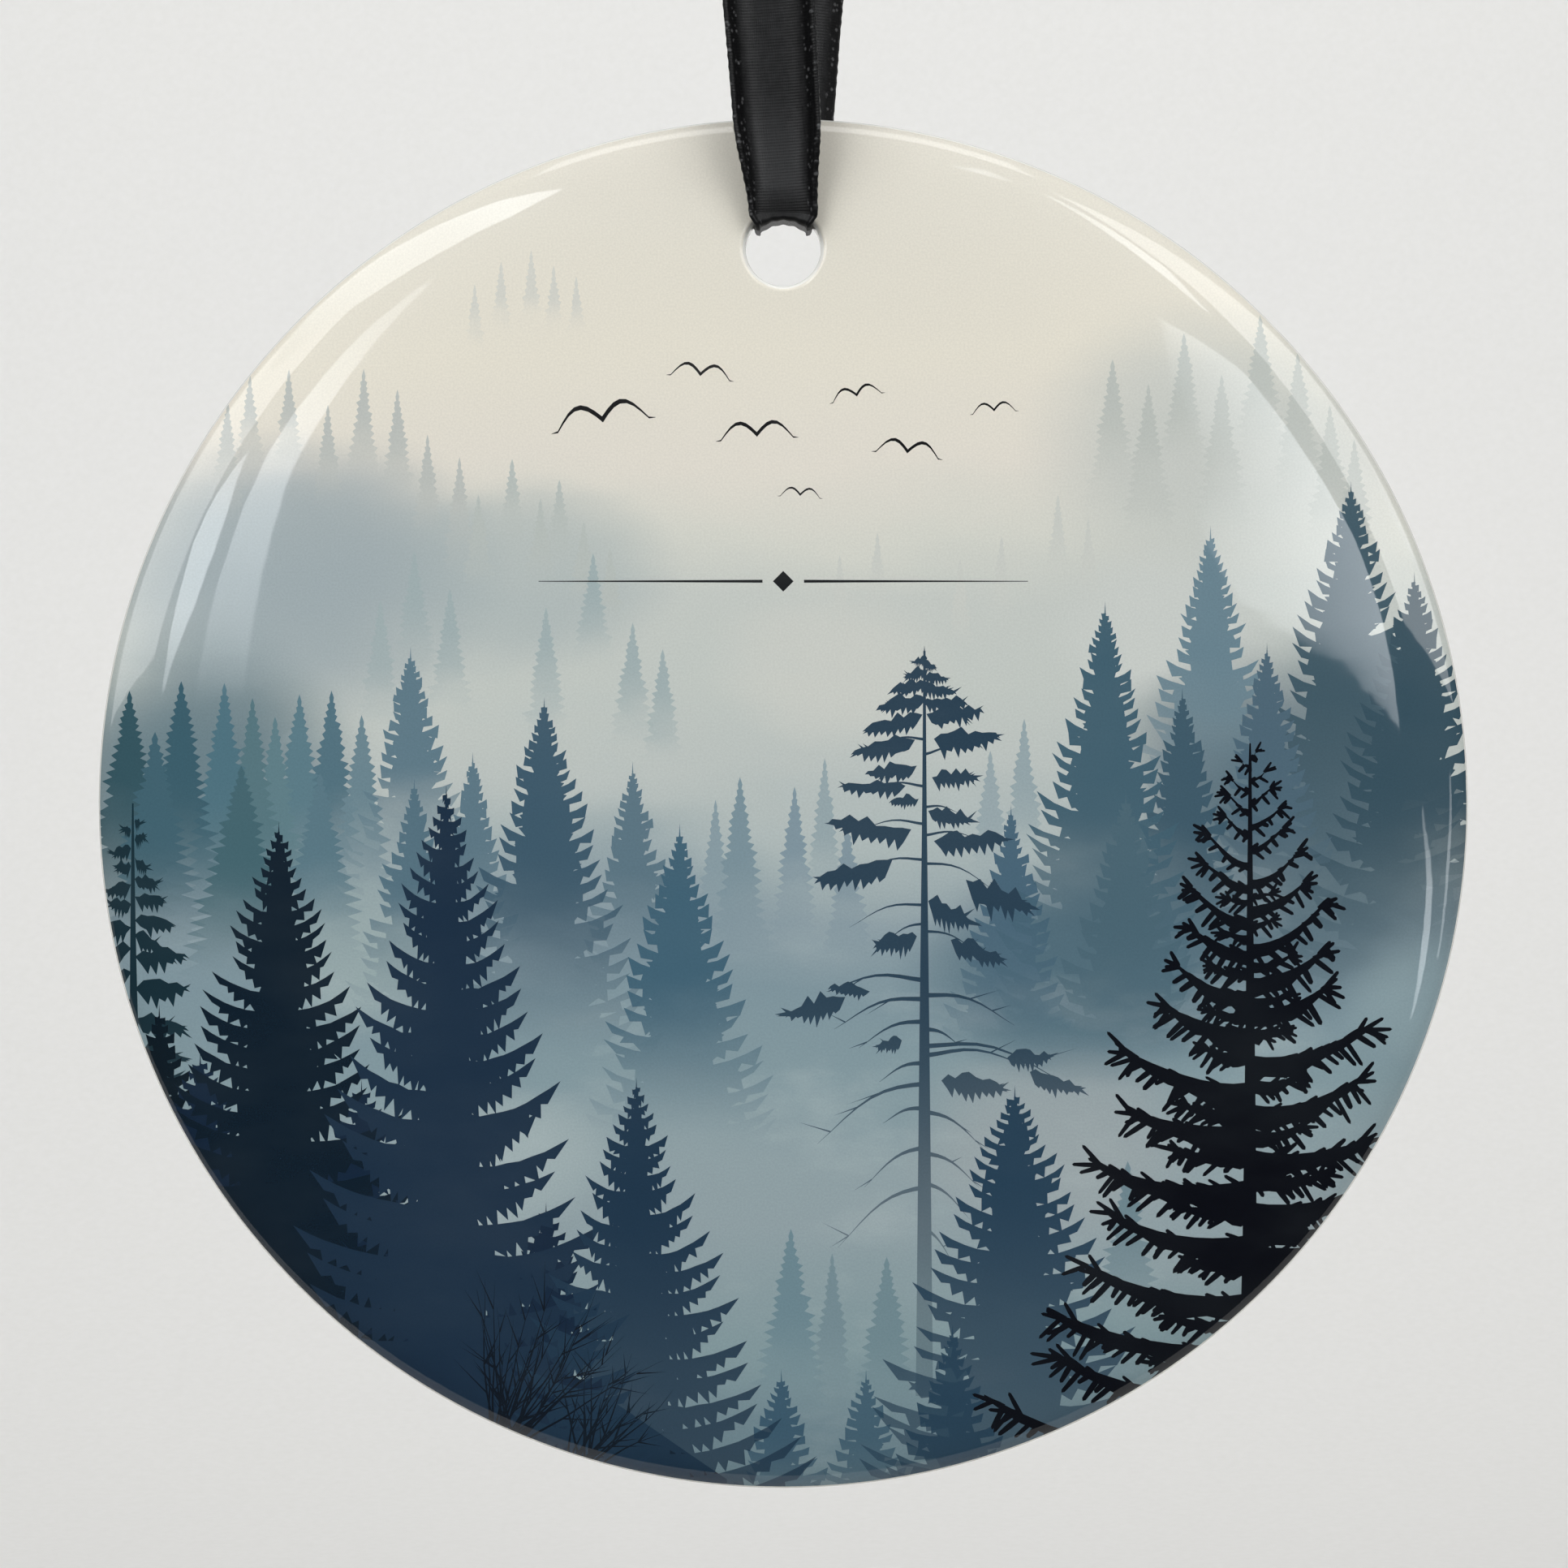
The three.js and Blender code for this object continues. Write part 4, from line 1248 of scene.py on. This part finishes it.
def print_material():
    """Fog over a forest in blue-grey inks under a hard clear gloss. Attributes carry each outline's ink."""
    material, nodes = new_material("forest_print")
    place = nodes.uv("picture")
    x, z, _ = nodes.axes(place)
    drift = nodes.noise(nodes.stretched(place, (0.045, 0.11, 1.0)), 1.0, 4.0)
    wisp = nodes.noise(nodes.stretched(place, (0.1, 0.2, 1.0), (3.1, 7.7, 0)), 1.0, 5.0, 0.55)
    height = nodes.math("ADD", z, nodes.times(nodes.math("SUBTRACT", drift, 0.5), 7.0))
    share = nodes.math("DIVIDE", nodes.math("SUBTRACT", height, FOG_LOW), FOG_SPAN)
    fog = nodes.ramp(share, [((level - FOG_LOW) / FOG_SPAN, linear(colour)) for level, colour in FOG])
    for centre, size, colour, strength in PATCHES:
        dx = nodes.math("DIVIDE", nodes.math("SUBTRACT", x, centre[0]), size[0])
        dz = nodes.math("DIVIDE", nodes.math("SUBTRACT", height, centre[1]), size[1])
        distance = nodes.math("ADD", nodes.times(dx, dx), nodes.times(dz, dz))
        patch = nodes.ramp_value(distance, 1.25, 0.05, 0.0, strength)
        fog = nodes.blend(patch, fog, linear(colour))
    brighter = nodes.ramp_value(wisp, 0.5, 0.78, 0.0, 0.35)
    low = nodes.ramp_value(z, 12.0, 2.0)
    fog = nodes.blend(nodes.times(brighter, low), fog, linear("b9c4c4"))
    picture = fog
    for layer in ("under", "over"):
        ink = nodes.attribute("ink_" + layer, "Color")
        start, end = nodes.attribute("fade_from_" + layer), nodes.attribute("fade_to_" + layer)
        wavering = nodes.math("ADD", z, nodes.times(nodes.math("SUBTRACT", wisp, 0.5), 6.0))
        left = nodes.ramp_value(wavering, end, start)
        tone = nodes.blend(nodes.ramp_value(wisp, 0.3, 0.7, 0.0, 0.02), ink, fog)
        picture = nodes.blend(nodes.times(left, nodes.attribute("inked_" + layer)), picture, tone)
    grain = nodes.noise(place, 9.0)
    value = nodes.ramp_value(grain, 0.2, 0.8, 0.955, 1.045)
    toned = nodes.add("ShaderNodeHueSaturation", {"Value": value, "Color": picture}).outputs[0]
    nodes.finish({
        "Base Color": toned,
        "Roughness": nodes.ramp_value(grain, 0.2, 0.8, 0.32, 0.4),
        "Coat Normal": nodes.bump(nodes.noise(place, 0.55, 1.0), 0.12, 0.00002),
        "Specular IOR Level": 0.0,
        "Coat Weight": 1.0,
        "Coat Roughness": 0.03,
        "Coat IOR": 1.5,
    })
    return material


BARE = (0.5, 0.5, 0.5, 1.0)  # stands where no ink is


def add_inks(mesh, layers, rank, holders):
    """Gives each face of the coat's front the two topmost inks that cover it, with their fades."""
    for place, layer in enumerate(("over", "under")):
        rows = []
        for inside in holders:
            order = sorted({rank[d] for d in inside}, reverse=True)
            if len(order) > place:
                _, ink, fade_from, fade_to = layers[order[place]]
                rows.append((*ink, fade_from, fade_to, 1.0))
            else:
                rows.append((*BARE, 1.0, 0.0, 0.0))
        rows += [(*BARE, 0.0, 0.0, 0.0)] * (len(mesh.polygons) - len(rows))
        rows = np.array(rows)
        for column, key in ((4, "fade_from_"), (5, "fade_to_"), (6, "inked_")):
            attribute = mesh.attributes.new(key + layer, "FLOAT", "FACE")
            attribute.data.foreach_set("value", rows[:, column].copy())
        attribute = mesh.attributes.new("ink_" + layer, "FLOAT_COLOR", "FACE")
        attribute.data.foreach_set("color", rows[:, :4].ravel())


def print_face():
    """The printed coat: a thin shell cut along the outlines of all drawings."""
    layers = forest()
    drawings = [outline for layer in layers for outline in layer[0]]
    rank = [number for number, layer in enumerate(layers) for _ in layer[0]]
    plan, faces, holders = plan_mesh(PRINT_EDGE, HOLE_RADIUS + 0.16, drawings)
    heights, normals = front_shape(plan[:, 0], plan[:, 1])
    places = in_row_frame(plan, heights)
    under = (places - normals * COAT, -normals)
    made, front_count = shell("printed_coat", plan, faces, (places, normals), under, PRINT)
    mesh = made.data
    add_inks(mesh, layers, rank, holders)
    flat = np.vstack([plan, plan])[vertex_of_loops(mesh)]
    add_layout(mesh, "picture", flat)
    bake_places(mesh, flat, front_count * 3)
    return made


def bake_places(mesh, flat, front_loops):
    """A bake layout that gives the steep rim its true share: the front fills the square's circle, and the
    coat's hidden side takes a corner."""
    radius = np.hypot(flat[:, 0], flat[:, 1])
    samples = np.linspace(0, PRINT_EDGE, 600)
    levels, _ = front_shape(samples, np.zeros_like(samples))
    run = run_along(np.stack([samples, levels], axis=1))
    true_run = np.interp(radius, samples, run) / run[-1]
    scale = np.where(radius > 1e-9, true_run / np.maximum(radius, 1e-9), 1.0 / run[-1])
    unit = flat * scale[:, None]
    layout = 0.5 + 0.492 * unit
    layout[front_loops:] = 0.06 + 0.05 * unit[front_loops:]
    add_layout(mesh, "OFBake", layout)


PRINT = print_material()
printed_coat = print_face()
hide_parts("front_print_coat")
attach(printed_coat, "disc")

# ---------------------------------------------------------------- studio


FLOOR_DROP = 60.0  # from the disc's lowest place down to the floor
FLOOR_FRONT = -50.0
SWEEP_BEND = 300.0
WALL_HEIGHT = 1500.0
STAGE_HALF = 1600.0
CARD_DISTANCE = 830.0


def stage_sweep():
    """A pale floor that starts just in front of the disc and curves up into a back wall."""
    floor_z = DISC_LOW[2] - FLOOR_DROP
    profile = [(FLOOR_FRONT, floor_z), (200.0, floor_z)]
    for degrees in range(0, 91, 6):
        a = math.radians(degrees)
        profile.append((500 + SWEEP_BEND * math.sin(a), floor_z + SWEEP_BEND * (1 - math.cos(a))))
    profile.append((500.0 + SWEEP_BEND, floor_z + WALL_HEIGHT))
    verts = [(x, y, z) for y, z in profile for x in (-STAGE_HALF, STAGE_HALF)]
    faces = [(2 * i, 2 * i + 1, 2 * i + 3, 2 * i + 2) for i in range(len(profile) - 1)]
    material, nodes = new_material("pale_paper")
    fibre = nodes.noise(nodes.object_place(), 900.0)
    nodes.finish({"Base Color": nodes.blend(fibre, linear("e9e8e5"), linear("efeeec")), "Roughness": 0.9})
    new_object("stage_sweep", verts, faces, material)


def mirrored_place(x, z):
    """The place in front of the disc that the camera sees mirrored at a place on the disc's face."""
    radius = math.hypot(x, z)
    share = min(max((radius - FLAT_RADIUS) / ROLL, 0), 0.985)
    slope = FRONT_DEPTH * 2 * share**3 / math.sqrt(1 - share**4) / ROLL
    angle = 2 * math.atan(slope) + math.atan(radius / CAMERA_DISTANCE)
    reach = CARD_DISTANCE * math.sin(angle) + radius
    return x / radius * reach, -CARD_DISTANCE * math.cos(angle), z / radius * reach + DISC_Z


def glint(rows):
    """A lit card whose mirror image is a streak on the glaze. Each row is inner x, z, outer x, z, and the
    inner and outer brightness."""
    verts, glow = [], []
    for x0, z0, x1, z1, inner, outer in rows:
        for i in range(5):
            t = i / 4
            verts.append(mirrored_place(mix(x0, x1, t), mix(z0, z1, t)))
            glow.append(mix(inner, outer, t))
    starts = [5 * i + k for i in range(len(rows) - 1) for k in range(4)]
    faces = [(a, a + 1, a + 6, a + 5) for a in starts]
    card = new_object("stage_glint", verts, faces, GLOW)
    strength = card.data.attributes.new("glow", "FLOAT", "POINT")
    strength.data.foreach_set("value", glow)
    card.visible_camera = False
    card.visible_shadow = False


def streak(points):
    """A narrow glint along a line of places (x, z, width, brightness) on the disc's face."""
    rows = []
    for x, z, width, brightness in points:
        radius = math.hypot(x, z)
        dx, dz = x / radius * width / 2, z / radius * width / 2
        rows.append((x - dx, z - dz, x + dx, z + dz, brightness, brightness))
    glint(rows)


def glow_material():
    """Light as strong as the card's own attribute says."""
    material, nodes = new_material("lit_card")
    nodes.tree.nodes.clear()
    inputs = {"Color": (0.93, 0.97, 1.0, 1.0), "Strength": nodes.attribute("glow")}
    light = nodes.add("ShaderNodeEmission", inputs).outputs[0]
    nodes.add("ShaderNodeOutputMaterial", {"Surface": light})
    return material


GLOW = glow_material()


def lamp(name, degrees_right, degrees_up, distance, width, height, power):
    """A soft rectangular lamp in front of the disc, placed by its direction from the disc's middle."""
    light = bpy.data.lights.new(name, "AREA")
    light.shape = "RECTANGLE"
    light.size, light.size_y = width * MM, height * MM
    light.energy = power
    made = bpy.data.objects.new(name, light)
    target = Vector((0.0, 0.0, DISC_Z * MM))
    right, up = math.tan(math.radians(degrees_right)), math.tan(math.radians(degrees_up))
    offset = Vector((right, -1.0, up)).normalized()
    made.location = target + offset * distance * MM
    made.rotation_euler = (-offset).to_track_quat("-Z", "Y").to_euler()
    made.visible_camera = False
    bpy.context.collection.objects.link(made)
    return made


# The pale veil at the upper right of the glaze, as glint takes it
VEIL = (
    (20.0, 25.9, 20.1, 25.7, 2.0, 3.0),
    (20.9, 22.0, 24.3, 23.1, 0.8, 4.0),
    (22.6, 18.1, 27.8, 18.5, 0.6, 5.5),
    (22.5, 13.4, 30.5, 13.8, 1.4, 6.4),
    (24.5, 9.9, 31.9, 9.5, 2.0, 6.6),
    (29.9, 6.9, 32.6, 5.6, 2.0, 5.0),
    (32.2, 4.5, 32.8, 3.7, 3.0, 4.0),
)
# The narrow streaks, as streak takes them: two long ones and a short one at the left, then the right edge's
STREAKS = (
    ((-33.0, 6.0, 0.1, 4.0), (-31.9, 10.2, 0.95, 6.0), (-30.9, 13.4, 1.25, 6.5), (-29.8, 16.2, 0.85, 6.0),
     (-28.7, 18.3, 0.1, 4.0)),
    ((-30.1, 5.0, 2.5, 0.3), (-29.6, 8.6, 2.4, 2.0), (-28.5, 13.4, 2.0, 4.0), (-26.8, 18.1, 1.6, 5.0),
     (-24.6, 21.6, 1.2, 4.0), (-22.2, 24.6, 0.8, 3.0), (-19.0, 27.6, 0.2, 2.0)),
    ((-27.2, 23.2, 0.3, 1.5), (-24.9, 25.6, 1.1, 3.0), (-21.8, 28.0, 1.5, 4.0), (-18.2, 30.1, 1.4, 4.5),
     (-14.6, 31.7, 1.0, 6.0), (-12.0, 32.6, 0.1, 5.0)),
    ((34.0, -0.6, 0.1, 3.0), (34.35, -4.6, 0.35, 6.0), (34.0, -8.5, 0.35, 6.0), (33.4, -11.5, 0.1, 4.0)),
    ((35.5, 1.4, 0.1, 3.0), (35.35, -3.6, 0.18, 4.5), (34.8, -8.4, 0.1, 3.0)),
    ((14.2, 32.3, 0.1, 3.0), (17.4, 30.4, 0.3, 5.0), (20.5, 28.1, 0.4, 5.5), (22.6, 26.1, 0.1, 4.0)),
    ((9.0, 33.9, 0.1, 2.0), (10.6, 33.6, 0.3, 3.5), (12.2, 33.1, 0.1, 2.0)),
    ((30.6, 18.7, 0.1, 2.0), (32.0, 16.4, 0.22, 4.0), (33.2, 13.8, 0.28, 4.5), (34.2, 11.2, 0.1, 2.5)),
)


def studio():
    """A dim world, four soft lamps, the stage, and the streaks that the glaze mirrors."""
    world = bpy.data.worlds.new("studio")
    world.use_nodes = True
    background = world.node_tree.nodes["Background"]
    background.inputs["Color"].default_value = (0.95, 0.98, 1.0, 1.0)
    background.inputs["Strength"].default_value = 0.08
    bpy.context.scene.world = world
    bpy.context.scene.view_settings.view_transform = "Standard"
    stage_sweep()
    lamp("key_left", -46, 32, 900, 640, 560, 3.4)
    lamp("key_right", 46, 34, 900, 640, 560, 3.9)
    lamp("top", 0, 62, 900, 600, 260, 1.5)
    wash = lamp("backdrop", 0, 0, 1, 500, 500, 1.7)
    wash.location = (0, 250 * MM, 420 * MM)
    wash.rotation_euler = Vector((0, 0.8, -0.55)).to_track_quat("-Z", "Y").to_euler()
    glint(VEIL)
    for points in STREAKS:
        streak(points)


studio()
